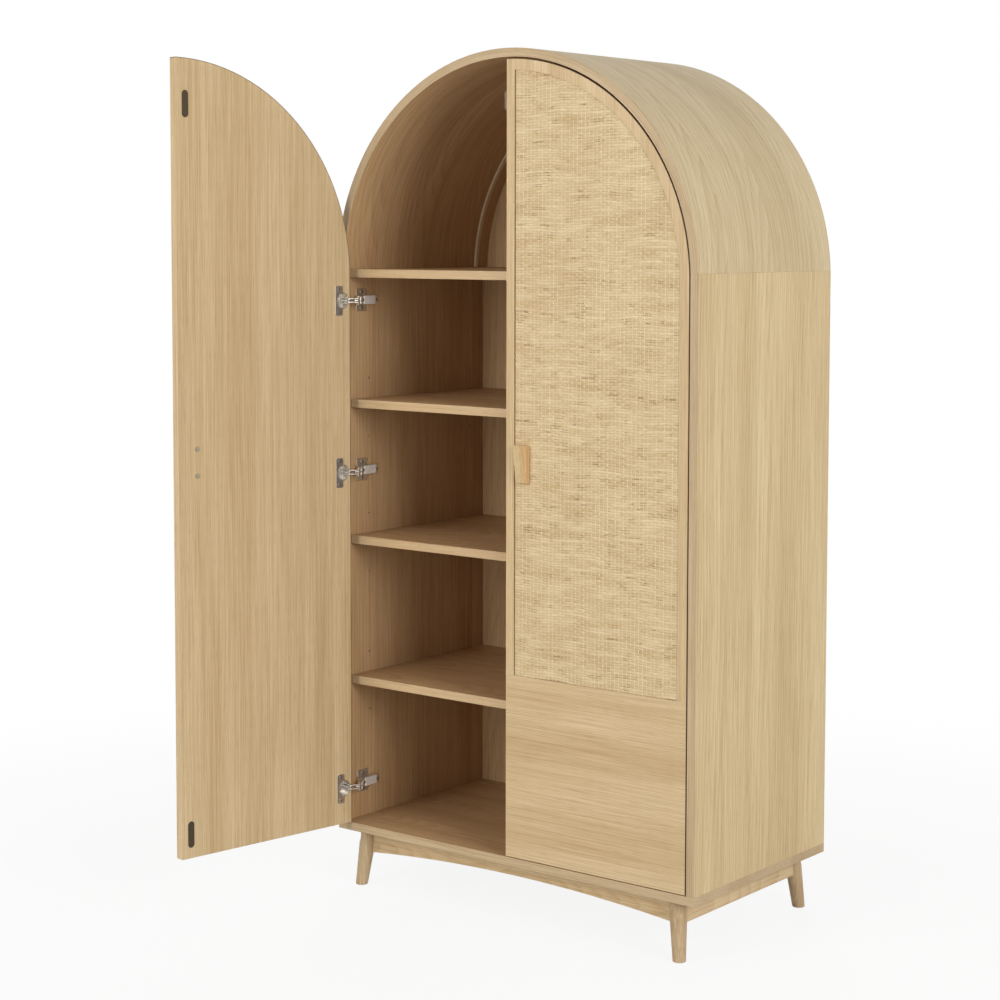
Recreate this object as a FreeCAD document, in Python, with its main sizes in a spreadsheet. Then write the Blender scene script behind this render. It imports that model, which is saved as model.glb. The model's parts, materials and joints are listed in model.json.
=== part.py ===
"""Arched wardrobe with two inset rattan doors on a splayed-leg frame.

Millimetres, +Z up, +X to the right of a viewer who faces the doors, +Y to the back.
The origin is on the floor, in the middle of the width, in the plane of the closed doors' front.
The left door stands open, the right one is closed.
"""
import FreeCAD, Part
import Sketcher
import math
import os

SIZES = {
    # Case
    "case_width": 930,
    "case_depth": 500,
    "leg_height": 122,
    "base_thickness": 18,
    "shell_thickness": 18,
    "arch_centre_height": 1335,
    "seam_rise": 15,
    "back_setback": 18,
    "back_thickness": 8,
    "back_groove_depth": 6,
    "base_groove_depth": 5,
    "groove_play": 0.2,
    "arch_play": 0.3,
    "seam_play": 0.5,
    "batten_thickness": 12,
    "batten_width": 34,
    # Shelves
    "shelf_thickness": 18,
    "shelf_front_face": 23,
    "shelf_end_play": 1,
    "lower_bay": 320.5,
    "middle_bay": 309,
    "upper_bay": 297.5,
    "fixed_shelf_drop": 1,
    "pin_radius": 2.5,
    "pin_play": 0.05,
    "pin_depth": 10,
    "pin_reach": 8,
    "pin_front_column": 82,
    "pin_rear_setback": 69,
    "pin_hole_pitch": 64,
    # Dowels
    "dowel_radius": 4,
    "dowel_play": 0.05,
    "dowel_short_end": 12,
    "dowel_long_end": 18,
    "dowel_setback": 60,
    "seam_dowel_reach": 14,
    "shelf_dowel_setback": 125,
    # Legs and the frame under the base
    "leg_foot_inset": 47,
    "leg_top_inset": 59,
    "leg_foot_setback": 22,
    "leg_top_setback": 34,
    "leg_foot_radius": 13.25,
    "leg_top_radius": 19,
    "foot_rounding": 1.5,
    "bolt_radius": 4,
    "bolt_play": 0.05,
    "bolt_in_leg": 34,
    "bolt_in_base": 12,
    "rail_thickness": 18,
    "rail_height": 50,
    "rail_front_setback": 30,
    "rail_side_inset": 47,
    "rail_rise": 21,
    "rail_play": 0.1,
    "rail_dowel_offset": 220,
    "side_rail_dowel_row": 150,
    # Doors
    "door_gap": 2,
    "door_crown_gap": 1.5,
    "meeting_gap": 2,
    "backing_thickness": 16,
    "facing_thickness": 4,
    "lower_panel_top": 522,
    "stile_width": 19.7,
    "border_width": 23,
    "rattan_thickness": 3,
    "rattan_groove": 3.3,
    "rattan_play": 0.2,
    # Handles
    "handle_offset": 45,
    "handle_height": 959,
    "handle_width": 31,
    "handle_length": 78,
    "handle_top_reach": 17,
    "handle_bottom_reach": 7,
    "handle_rounding": 1.5,
    "handle_screw_pitch": 55,
    "handle_screw_radius": 2,
    "handle_screw_play": 0.3,
    "handle_screw_bite": 6,
    "handle_screw_head_radius": 4.5,
    "handle_screw_head_height": 2.6,
    # Strike plates on the left door, catch on the right door
    "plate_offset": 23,
    "plate_width": 15.6,
    "plate_length": 55,
    "plate_thickness": 1.6,
    "plate_play": 0.1,
    "upper_plate_drop": 114,
    "lower_plate_rise": 51.5,
    "plate_screw_pitch": 41,
    "small_screw_radius": 1.5,
    "small_screw_length": 11,
    "small_screw_head_radius": 2.8,
    "small_screw_head_height": 1,
    "catch_drop": 104.5,
    "catch_length": 37,
    "catch_reach": 21,
    "catch_grip": 24,
    "catch_thickness": 3.4,
    "catch_play": 0.3,
    "catch_rounding": 3,
    "catch_screw_offset": 12,
    "catch_screw_pitch": 20,
    # Cup hinges: heights below the fixed shelf, above the middle shelf and above the base
    "top_hinge_drop": 67,
    "middle_hinge_rise": 141.5,
    "bottom_hinge_rise": 80,
    # Cup hinges: cup and flange
    "cup_radius": 17.5,
    "cup_play": 0.1,
    "cup_setback": 20.6,
    "cup_depth": 15,
    "cup_wall": 0.9,
    "flange_length": 64,
    "flange_width": 19.6,
    "flange_setback": 21,
    "flange_thickness": 1.2,
    "flange_rounding": 5,
    "flange_screw_pitch": 50,
    "flange_screw_setback": 31,
    "outer_ear_offset": 5.6,
    "outer_ear_thickness": 1.5,
    "outer_ear_half_width": 2.2,
    "inner_ear_half_height": 1.1,
    "inner_ear_half_width": 1.6,
    # Cup hinges: pivots, measured inwards from the side panel and back from the front
    "cup_outer_pivot_inset": 10,
    "cup_outer_pivot_depth": 19,
    "cup_inner_pivot_inset": 9.5,
    "cup_inner_pivot_depth": 16,
    "arm_outer_pivot_inset": 33.5,
    "arm_outer_pivot_depth": 10.772,
    "arm_inner_pivot_inset": 27,
    "arm_inner_pivot_depth": 7.569,
    "outer_link_bend_inset": 11.5,
    "outer_link_bend_depth": 14,
    "inner_link_first_bend_inset": 9,
    "inner_link_first_bend_depth": 9.5,
    "inner_link_second_bend_inset": 11,
    "inner_link_second_bend_depth": 8,
    # Line that the door swings about, and the angle at which the left door stands open
    "door_axis_inset": 2.5,
    "door_axis_depth": 0.5,
    "open_angle": 99.2,
    # Cup hinges: links and pins
    "inner_link_offset": 1.4,
    "inner_link_thickness": 1.4,
    "inner_link_half_width": 1.3,
    "outer_link_offset": 3.1,
    "outer_link_thickness": 2,
    "outer_link_half_width": 1.6,
    "link_eye_radius": 1.8,
    "hinge_pin_radius": 0.9,
    "hinge_pin_play": 0.05,
    "open_pivot_play": 0.2,
    "arm_eye_of_link_radius": 1.4,
    # Cup hinges: arm, cover and mounting plate
    "arm_half_height": 9.25,
    "arm_cheek_thickness": 1.85,
    "arm_web_half_height": 1.1,
    "arm_eye_radius": 1.4,
    "arm_half_width": 1.8,
    "arm_shoulder_inset": 32.5,
    "arm_shoulder_depth": 19.5,
    "arm_crank_inset": 24,
    "arm_crank_depth": 30,
    "arm_heel_inset": 14.5,
    "arm_heel_depth": 40,
    "arm_body_bottom": 2.5,
    "arm_body_top": 17,
    "arm_body_front": 36,
    "arm_body_end": 93,
    "arm_body_thickness": 1.5,
    "cover_front": 48,
    "cover_end": 84,
    "cover_thickness": 1.4,
    "plate_wing_half_height": 24.4,
    "plate_wing_front": 40,
    "plate_wing_end": 74,
    "plate_wing_thickness": 2,
    "plate_rail_half_height": 7.2,
    "plate_rail_top": 15,
    "plate_rail_front": 42,
    "plate_rail_end": 91,
    "mount_screw_pitch": 34,
    "mount_screw_row": 57,
    "mount_screw_radius": 2.5,
    "mount_screw_length": 12,
    "mount_screw_head_radius": 3.9,
    "mount_screw_head_height": 1.6,
    "adjuster_radius": 2,
    "adjuster_play": 0.1,
    "adjuster_head_radius": 3.4,
    "adjuster_head_height": 1.2,
    "side_adjuster_row": 44.2,
    "depth_adjuster_row": 88.5,
    # Reach of a cutting body past the face that it opens
    "overrun": 5,
}

doc = FreeCAD.newDocument("Wardrobe")
sheet = doc.addObject("Spreadsheet::Sheet", "Sizes")
for row, (name, number) in enumerate(SIZES.items(), 1):
    sheet.set(f"A{row}", name)
    sheet.set(f"B{row}", str(number))
    sheet.setAlias(f"B{row}", name)
doc.recompute()


class Size:
    """A formula of the sheet's cells, with the length that it gives at present."""

    def __init__(self, text, value):
        self.text = text
        self.value = value

    def __add__(self, other):
        other = as_size(other)
        return Size(f"({self.text} + {other.text})", self.value + other.value)

    def __sub__(self, other):
        other = as_size(other)
        return Size(f"({self.text} - {other.text})", self.value - other.value)

    def __mul__(self, other):
        other = as_size(other)
        return Size(f"({self.text} * {other.text})", self.value * other.value)

    def __truediv__(self, other):
        other = as_size(other)
        return Size(f"({self.text} / {other.text})", self.value / other.value)

    def __neg__(self):
        return Size(f"(-{self.text})", -self.value)


class Sheet:
    """Named sizes, read from the sheet when they are asked for."""

    def __getattr__(self, name):
        return Size(f"Sizes.{name}", float(sheet.get(name)))


def as_size(number):
    return number if isinstance(number, Size) else Size(str(number), number)


def bind(target, **formulas):
    """Bind properties to the sheet. A double underscore in a keyword stands for a dot."""
    for path, formula in formulas.items():
        target.setExpression(path.replace("__", "."), as_size(formula).text)


s = Sheet()
half = s.case_width / 2
inner = half - s.shell_thickness
base_top = s.leg_height + s.base_thickness
centre = s.arch_centre_height
leg_foot_offset = half - s.leg_foot_inset
leg_top_offset = half - s.leg_top_inset
rail_side_offset = half - s.rail_side_inset
seam_height = centre + s.seam_rise
crown = centre + half
back_front_face = s.case_depth - s.back_setback
back_rear_face = back_front_face + s.back_thickness
dowel_rows = {"front": s.dowel_setback, "middle": s.case_depth / 2, "rear": s.case_depth - s.dowel_setback}
shelf_dowel_rows = {"front": s.shelf_dowel_setback, "rear": s.case_depth - s.shelf_dowel_setback}
pin_columns = {"front": s.pin_front_column, "rear": s.case_depth - s.pin_rear_setback}
lead = s.meeting_gap / 2
edge = inner - s.door_gap
door_low = base_top + s.door_gap
door_centre = centre - s.door_crown_gap
door_thickness = s.facing_thickness + s.backing_thickness
rattan_face = s.facing_thickness - s.rattan_thickness
fixed_shelf_top = seam_height - s.fixed_shelf_drop
lower_shelf_top = base_top + s.lower_bay
middle_shelf_top = lower_shelf_top + s.middle_bay
upper_shelf_top = middle_shelf_top + s.upper_bay
adjustable_shelf_tops = {"upper": upper_shelf_top, "middle": middle_shelf_top, "lower": lower_shelf_top}
hinge_heights = {"top": fixed_shelf_top - s.top_hinge_drop, "middle": middle_shelf_top + s.middle_hinge_rise,
                 "bottom": base_top + s.bottom_hinge_rise}
plate_heights = {"upper": crown - s.upper_plate_drop, "lower": base_top + s.lower_plate_rise}
catch_height = crown - s.catch_drop
AXIS_TURNS = {
    "X": FreeCAD.Rotation(FreeCAD.Vector(0, 1, 0), 90),
    "Y": FreeCAD.Rotation(FreeCAD.Vector(1, 0, 0), -90),
    "Z": FreeCAD.Rotation(),
}
nodes = []


def vector(x, y, z):
    return FreeCAD.Vector(as_size(x).value, as_size(y).value, as_size(z).value)


def box(name, x, y, z):
    """A block between two faces on each axis."""
    solid = doc.addObject("Part::Box", name)
    bind(solid, Length=x[1] - x[0], Width=y[1] - y[0], Height=z[1] - z[0],
         Placement__Base__x=x[0], Placement__Base__y=y[0], Placement__Base__z=z[0])
    return solid


def cylinder(name, axis, radius, x, y, z):
    """A round bar along X, Y or Z. The pair among x, y and z holds its two ends."""
    solid = doc.addObject("Part::Cylinder", name)
    solid.Placement.Rotation = AXIS_TURNS[axis]
    ends = {"X": x, "Y": y, "Z": z}[axis]
    start = {"X": (ends[0], y, z), "Y": (x, ends[0], z), "Z": (x, y, ends[0])}[axis]
    bind(solid, Radius=radius, Height=ends[1] - ends[0], Placement__Base__x=start[0],
         Placement__Base__y=start[1], Placement__Base__z=start[2])
    return solid


def fuse(name, *solids):
    result = doc.addObject("Part::MultiFuse", name)
    result.Shapes = list(solids)
    return result


def common(name, first, second):
    result = doc.addObject("Part::Common", name)
    result.Base = first
    result.Tool = second
    return result


def cut(name, body, *tools):
    result = doc.addObject("Part::Cut", name)
    result.Base = body
    result.Tool = tools[0] if len(tools) == 1 else fuse(f"{name}_tools", *tools)
    return result


def group(name, *solids):
    """Separate solids that stay separate in one node."""
    result = doc.addObject("Part::Compound", name)
    result.Links = list(solids)
    return result


def mirrored_left(name, source):
    """The same piece on the other side of the middle plane."""
    result = doc.addObject("Part::Mirroring", name)
    result.Source = source
    result.Normal = FreeCAD.Vector(1, 0, 0)
    return result


def mirrored_rear(name, source):
    """The same piece at the back instead of the front of the case."""
    result = doc.addObject("Part::Mirroring", name)
    result.Source = source
    result.Normal = FreeCAD.Vector(0, 1, 0)
    bind(result, Base__y=s.case_depth / 2)
    return result


def node(label, source, placement=None):
    """Name a finished piece, and move it when it stands open in the resting pose."""
    if placement is not None:
        source = group(f"{label}_placed", source)
        source.Placement = placement
    source.Label = label
    nodes.append(source)
    return source


def arch(name, low, x, y, radius):
    """A plate of a door with straight sides and a round top, whose centre is a little below the case's."""
    top = door_centre + radius
    block = box(f"{name}_block", x, y, (low, top))
    disc = cylinder(f"{name}_disc", "Y", radius, as_size(0), y, door_centre)
    column = box(f"{name}_column", (-radius, radius), y, (low, door_centre))
    return common(name, block, fuse(f"{name}_outline", disc, column))


def ring(name, outer, hollow, y, low):
    """A bent board: half a ring about the arch's centre line, cut level at its feet."""
    disc = cylinder(f"{name}_disc", "Y", outer, as_size(0), y, centre)
    core = cylinder(f"{name}_core", "Y", hollow, as_size(0),
                    (y[0] - s.overrun, y[1] + s.overrun), centre)
    block = box(f"{name}_block", (-outer - s.overrun, outer + s.overrun), y,
                (low, centre + outer + s.overrun))
    return common(name, block, cut(f"{name}_ring", disc, core))


# Dowels and the holes that they share
def upright_dowels(name, play):
    """Bars for the joints of side panel to base and of side panel to arched top."""
    radius = s.dowel_radius - play
    middle = inner + s.shell_thickness / 2
    bars = []
    for row, y in dowel_rows.items():
        bars.append(cylinder(f"{name}_foot_{row}", "Z", radius, middle, y,
                             (base_top - s.dowel_short_end, base_top + s.dowel_long_end)))
        bars.append(cylinder(f"{name}_seam_{row}", "Z", radius, middle, y,
                             (seam_height - s.seam_dowel_reach,
                              seam_height + s.seam_dowel_reach)))
    return bars


def shelf_dowels(name, play):
    """Bars that hold the fixed shelf between the side panels."""
    middle = fixed_shelf_top - s.shelf_thickness / 2
    bars = []
    for row, y in shelf_dowel_rows.items():
        bars.append(cylinder(f"{name}_shelf_{row}", "X", s.dowel_radius - play,
                             (inner - s.dowel_long_end, inner + s.dowel_short_end), y, middle))
    return bars


def rail_dowels(name, play):
    """Upright bars between base and rails, for the right half of the frame."""
    radius = s.dowel_radius - play
    z = (s.leg_height - s.dowel_long_end, s.leg_height + s.dowel_short_end)
    front_y = s.rail_front_setback + s.rail_thickness / 2
    side_x = rail_side_offset - s.rail_thickness / 2
    places = {
        "front": (s.rail_dowel_offset, front_y),
        "rear": (s.rail_dowel_offset, s.case_depth - front_y),
        "side_front": (side_x, s.side_rail_dowel_row),
        "side_rear": (side_x, s.case_depth - s.side_rail_dowel_row),
    }
    return [cylinder(f"{name}_{place}", "Z", radius, x, y, z) for place, (x, y) in places.items()]


def both_sides(bars):
    return bars + [mirrored_left(f"{bar.Name}_left", bar) for bar in bars]


# Legs
def leg_shape(name, play):
    """A tapered round leg that leans outwards, with level ends."""
    circles = []
    for end, offset, setback, radius, z in (
            ("foot", leg_foot_offset, s.leg_foot_setback, s.leg_foot_radius, as_size(0)),
            ("top", leg_top_offset, s.leg_top_setback, s.leg_top_radius, s.leg_height)):
        circle = doc.addObject("Part::Circle", f"{name}_{end}")
        bind(circle, Radius=radius + play, Placement__Base__x=offset,
             Placement__Base__y=setback, Placement__Base__z=z)
        circles.append(circle)
    loft = doc.addObject("Part::Loft", name)
    loft.Sections = circles
    loft.Solid = True
    loft.Ruled = True
    return loft


def leg_bolt(name, play):
    """The stud from leg to base, leaning with the leg."""
    top = vector(leg_top_offset, s.leg_top_setback, s.leg_height)
    lean = top - vector(leg_foot_offset, s.leg_foot_setback, 0)
    lean.normalize()
    stud = doc.addObject("Part::Cylinder", name)
    bind(stud, Radius=s.bolt_radius + play, Height=s.bolt_in_leg + s.bolt_in_base)
    stud.Placement = FreeCAD.Placement(top - lean * s.bolt_in_leg.value,
                                       FreeCAD.Rotation(FreeCAD.Vector(0, 0, 1), lean))
    return stud


def make_legs():
    blank = cut("leg_blank", leg_shape("leg_taper", as_size(0)), leg_bolt("leg_hole", s.bolt_play))
    doc.recompute()
    leg = doc.addObject("Part::Fillet", "leg")
    leg.Base = blank
    floor_edges = [number for number, line in enumerate(blank.Shape.Edges, 1)
                   if line.BoundBox.ZMax < s.foot_rounding.value]
    leg.Edges = [(number, s.foot_rounding.value, s.foot_rounding.value) for number in floor_edges]
    node("front_right_leg", leg)
    node("front_left_leg", mirrored_left("front_left_leg", leg))
    rear = mirrored_rear("rear_right_leg", leg)
    node("rear_right_leg", rear)
    node("rear_left_leg", mirrored_left("rear_left_leg", rear))
    stud = leg_bolt("leg_stud", as_size(0))
    rear_stud = mirrored_rear("rear_leg_stud", stud)
    node("leg_bolts", group("leg_bolts", *both_sides([stud, rear_stud])))


def make_rails():
    """Four boards between the legs. Those at front and back have an arched lower edge."""
    z = (s.leg_height - s.rail_height, s.leg_height)
    reach = rail_side_offset - s.rail_thickness
    leg = leg_shape("rail_end_leg", s.rail_play)
    rear_leg = mirrored_rear("rail_end_rear_leg", leg)
    holes = rail_dowels("rail_hole", -s.dowel_play)
    y = (s.rail_front_setback, s.rail_front_setback + s.rail_thickness)
    radius = (reach * reach + s.rail_rise * s.rail_rise) / (s.rail_rise * 2)
    bow = cylinder("rail_bow", "Y", radius, as_size(0), (y[0] - s.overrun, y[1] + s.overrun),
                   z[0] + s.rail_rise - radius)
    blank = box("front_rail_blank", (-reach, reach), y, z)
    front = cut("front_rail", blank, bow, *both_sides([leg, holes[0]]))
    node("front_rail", front)
    node("rear_rail", mirrored_rear("rear_rail", front))
    side_blank = box("side_rail_blank", (reach, rail_side_offset),
                     (s.leg_top_setback, s.case_depth - s.leg_top_setback), z)
    side = cut("right_rail", side_blank, leg, rear_leg, holes[2], holes[3])
    node("right_rail", side)
    node("left_rail", mirrored_left("left_rail", side))
    node("rail_dowels", group("rail_dowels", *both_sides(rail_dowels("rail_dowel", s.dowel_play))))


# Case
def pin_bars(name, radius, x):
    """Bars at the pin height of each adjustable shelf: one at each of three steps."""
    bars = {}
    for shelf, top in adjustable_shelf_tops.items():
        seat = top - s.shelf_thickness - s.pin_radius
        for column, y in pin_columns.items():
            for step, z in (("low", seat - s.pin_hole_pitch), ("mid", seat),
                            ("high", seat + s.pin_hole_pitch)):
                bars[(shelf, column, step)] = (f"{name}_{shelf}_{column}_{step}", radius, x, y, z)
    return bars


def make_side_panels():
    panel = box("side_blank", (inner, half), (as_size(0), s.case_depth), (base_top, seam_height))
    groove = box("side_groove", (inner - s.overrun, inner + s.back_groove_depth),
                 (back_front_face - s.groove_play, back_rear_face + s.groove_play),
                 (base_top - s.overrun, seam_height + s.overrun))
    bores = [cylinder(name, "X", radius, x, y, z) for name, radius, x, y, z in
             pin_bars("pin_hole", s.pin_radius, (inner - s.overrun, inner + s.pin_depth)).values()]
    screws = mount_screw_bars("side_screw_hole", s.mount_screw_radius)
    right = cut("right_side_panel", panel, groove, *bores, *screws,
                *upright_dowels("side_hole", -s.dowel_play),
                *shelf_dowels("side_hole", -s.dowel_play))
    node("right_side_panel", right)
    node("left_side_panel", mirrored_left("left_side_panel", right))
    pins = [cylinder(name, "X", radius, x, y, z) for (shelf, column, step),
            (name, radius, x, y, z) in
            pin_bars("pin", s.pin_radius - s.pin_play,
                     (inner - s.pin_reach, inner + s.pin_depth)).items() if step == "mid"]
    node("shelf_pins", group("shelf_pins", *both_sides(pins)))


def make_base_and_top():
    panel = box("base_blank", (-half, half), (as_size(0), s.case_depth), (s.leg_height, base_top))
    reach = inner + s.back_groove_depth
    groove = box("base_groove", (-reach, reach),
                 (back_front_face - s.groove_play, back_rear_face + s.groove_play),
                 (base_top - s.base_groove_depth, base_top + s.overrun))
    stud = leg_bolt("base_bolt_hole", s.bolt_play)
    rear_stud = mirrored_rear("base_rear_bolt_hole", stud)
    bores = upright_dowels("base_hole", -s.dowel_play) + rail_dowels("base_hole", -s.dowel_play)
    node("base_panel", cut("base_panel", panel, groove, *both_sides(bores + [stud, rear_stud])))
    bend = ring("top_bend", half, inner, (as_size(0), s.case_depth), seam_height)
    seam_bores = both_sides(upright_dowels("top_hole", -s.dowel_play))
    node("arched_top", cut("arched_top", bend, *seam_bores))


def make_back():
    reach = inner + s.back_groove_depth - s.groove_play
    y = (back_front_face, back_rear_face)
    shoulder = seam_height - s.seam_play
    lower = box("back_lower", (-reach, reach), y,
                (base_top - s.base_groove_depth + s.groove_play, shoulder))
    radius = inner - s.arch_play
    disc = cylinder("back_disc", "Y", radius, as_size(0), y, centre)
    head = box("back_head", (-radius, radius), y, (shoulder, centre + radius))
    node("back_panel", fuse("back_panel", lower, common("back_upper", disc, head)))
    node("rear_arch_batten",
         ring("rear_arch_batten", radius, inner - s.batten_thickness,
              (back_front_face - s.batten_width, back_front_face),
              fixed_shelf_top + s.groove_play))


def make_shelves():
    top = fixed_shelf_top
    board = box("fixed_shelf_blank", (-inner, inner), (s.shelf_front_face, back_front_face),
                (top - s.shelf_thickness, top))
    bores = both_sides(shelf_dowels("shelf_hole", -s.dowel_play))
    node("fixed_shelf", cut("fixed_shelf", board, *bores))
    reach = inner - s.shelf_end_play
    for name, top in adjustable_shelf_tops.items():
        node(f"{name}_shelf",
             box(f"{name}_shelf", (-reach, reach),
                 (s.shelf_front_face, back_front_face - s.shelf_end_play),
                 (top - s.shelf_thickness, top)))
    bars = upright_dowels("dowel", s.dowel_play) + shelf_dowels("dowel", s.dowel_play)
    node("case_dowels", group("case_dowels", *both_sides(bars)))


# Doors, made closed on the right
def handle_bars(name, radius, y):
    """Bars at the two screws of a handle."""
    bars = []
    for end, z in (("low", s.handle_height - s.handle_screw_pitch / 2),
                   ("high", s.handle_height + s.handle_screw_pitch / 2)):
        bars.append(cylinder(f"{name}_{end}", "Y", radius, s.handle_offset, y, z))
    return bars


def cup_bars(name, radius, y):
    """Bars at the three hinge cups of a door."""
    return {place: cylinder(f"{name}_{place}", "Y", radius, edge - s.cup_setback, y, z)
            for place, z in hinge_heights.items()}


def flange_bars(name, radius, y):
    """Bars at the two screws of each cup flange."""
    bars = []
    for place, height in hinge_heights.items():
        for end, z in (("low", height - s.flange_screw_pitch / 2),
                       ("high", height + s.flange_screw_pitch / 2)):
            bars.append(cylinder(f"{name}_{place}_{end}", "Y", radius,
                                 edge - s.flange_screw_setback, y, z))
    return bars


def long_round(name, width, length, z, y):
    """A bar with half-round ends, standing upright on the door's inner face."""
    radius = width / 2
    run = length / 2 - radius
    block = box(f"{name}_block", (s.plate_offset - radius, s.plate_offset + radius), y,
                (z - run, z + run))
    ends = [cylinder(f"{name}_{end}", "Y", radius, s.plate_offset, y, height)
            for end, height in (("low", z - run), ("high", z + run))]
    return fuse(name, block, *ends)


def plate_bars(name, radius, y):
    """Bars at the two screws of each strike plate."""
    bars = []
    for plate, height in plate_heights.items():
        for end, z in (("low", height - s.plate_screw_pitch / 2),
                       ("high", height + s.plate_screw_pitch / 2)):
            bars.append(cylinder(f"{name}_{plate}_{end}", "Y", radius, s.plate_offset, y, z))
    return bars


def catch_bars(name, radius, y):
    """Bars at the two screws of the catch."""
    return [cylinder(f"{name}_{end}", "Y", radius, s.catch_screw_offset, y, z)
            for end, z in (("low", catch_height - s.catch_screw_pitch / 2),
                           ("high", catch_height + s.catch_screw_pitch / 2))]


def small_screws(name, shanks, heads):
    """Screws, each a shank and the head on it."""
    return [fuse(f"{name}_{number}", shank, head)
            for number, (shank, head) in enumerate(zip(shanks, heads), 1)]


def make_door_boards():
    """Backing board, front border, rattan sheet and lower panel of both doors."""
    through = (-s.overrun, door_thickness + s.overrun)
    blank = arch("backing_blank", door_low, (lead, edge), (s.facing_thickness, door_thickness), edge)
    cups = cup_bars("cup_bore", s.cup_radius + s.cup_play,
                    (door_thickness - s.cup_depth, door_thickness + s.overrun)).values()
    screw_hole = (door_thickness - s.small_screw_length - s.small_screw_radius,
                  door_thickness + s.overrun)
    bored = cut("backing_bored", blank, *cups,
                *handle_bars("backing_handle_hole", s.handle_screw_radius + s.handle_screw_play,
                             through),
                *flange_bars("backing_flange_hole", s.small_screw_radius, screw_hole))
    node("right_door_backing",
         cut("right_backing", bored, *catch_bars("catch_hole", s.small_screw_radius, screw_hole)))
    recess_y = (door_thickness - s.plate_thickness, door_thickness + s.overrun)
    recesses = [long_round(f"{name}_recess", s.plate_width + s.plate_play * 2,
                           s.plate_length + s.plate_play * 2, z, recess_y)
                for name, z in plate_heights.items()]
    left_backing = cut("left_backing_closed", bored, *recesses,
                       *plate_bars("plate_hole", s.small_screw_radius, screw_hole))
    node("left_door_backing", mirrored_left("left_backing", left_backing), open_door)
    facing = (as_size(0), s.facing_thickness)
    border = arch("border_blank", s.lower_panel_top, (lead, edge), facing, edge)
    window = arch("border_window", s.lower_panel_top - s.overrun,
                  (lead + s.stile_width, edge - s.border_width),
                  (-s.overrun, s.facing_thickness + s.overrun), edge - s.border_width)
    rattan_edge = edge - s.border_width - s.rattan_play
    sheet_blank = arch("rattan_blank", s.lower_panel_top + s.rattan_play,
                       (lead + s.stile_width + s.rattan_groove, rattan_edge),
                       (rattan_face, s.facing_thickness), rattan_edge)
    rattan = cut("rattan", sheet_blank,
                 *handle_bars("rattan_hole", s.handle_screw_radius + s.handle_screw_play, through))
    panel = box("lower_panel", (lead, edge), facing, (door_low, s.lower_panel_top))
    two_sided("door_frame", cut("door_frame", border, window))
    two_sided("door_lower_panel", panel)
    two_sided("rattan_sheet", rattan)


def two_sided(name, source):
    """The closed right piece, and its mirror image on the open left door."""
    node(f"right_{name}", source)
    node(f"left_{name}", mirrored_left(f"left_{name}_closed", source), open_door)


def make_handle():
    """A wooden tab, deepest at its upper end, with softened edges."""
    body = doc.addObject("PartDesign::Body", "handle_body")
    plane = [item for item in body.Origin.OriginFeatures if item.Role == "YZ_Plane"][0]
    profile = body.newObject("Sketcher::SketchObject", "handle_profile")
    profile.AttachmentSupport = (plane, "")
    profile.MapMode = "FlatFace"
    low = s.handle_height - s.handle_length / 2
    corners = [vector(rattan_face, low, 0), vector(rattan_face, low + s.handle_length, 0),
               vector(-s.handle_top_reach, low + s.handle_length, 0),
               vector(-s.handle_bottom_reach, low, 0)]
    for number in range(4):
        profile.addGeometry(Part.LineSegment(corners[number], corners[(number + 1) % 4]))
    for number in range(4):
        profile.addConstraint(Sketcher.Constraint("Coincident", number, 2, (number + 1) % 4, 1))
    profile.addConstraint(Sketcher.Constraint("Vertical", 0))
    profile.addConstraint(Sketcher.Constraint("Horizontal", 1))
    profile.addConstraint(Sketcher.Constraint("Horizontal", 3))
    formulas = (
        (Sketcher.Constraint("DistanceX", -1, 1, 0, 1, corners[0].x), rattan_face),
        (Sketcher.Constraint("DistanceY", -1, 1, 0, 1, corners[0].y), low),
        (Sketcher.Constraint("Distance", 0, s.handle_length.value), s.handle_length),
        (Sketcher.Constraint("Distance", 1, corners[1].x - corners[2].x),
         rattan_face + s.handle_top_reach),
        (Sketcher.Constraint("Distance", 3, corners[0].x - corners[3].x),
         rattan_face + s.handle_bottom_reach),
    )
    for constraint, formula in formulas:
        number = profile.addConstraint(constraint)
        profile.setExpression(f"Constraints[{number}]", formula.text)
    pad = body.newObject("PartDesign::Pad", "handle_pad")
    pad.Profile = profile
    pad.Midplane = True
    bind(pad, Length=s.handle_width)
    bind(body, Placement__Base__x=s.handle_offset)
    doc.recompute()
    rounded = [f"Edge{number}" for number, line in enumerate(pad.Shape.Edges, 1)
               if line.BoundBox.YMin < rattan_face.value - s.handle_rounding.value]
    fillet = body.newObject("PartDesign::Fillet", "handle_fillet")
    fillet.Base = (pad, rounded)
    bind(fillet, Radius=s.handle_rounding)
    body.Tip = fillet
    bores = handle_bars("handle_hole", s.handle_screw_radius + s.pin_play,
                        (rattan_face - s.handle_screw_bite, rattan_face + s.overrun))
    two_sided("handle", cut("handle", body, *bores))
    shanks = handle_bars("handle_shank", s.handle_screw_radius,
                         (rattan_face - s.handle_screw_bite, door_thickness))
    heads = handle_bars("handle_head", s.handle_screw_head_radius,
                        (door_thickness, door_thickness + s.handle_screw_head_height))
    two_sided("handle_screws", group("handle_screws", *small_screws("handle_screw", shanks, heads)))


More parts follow.
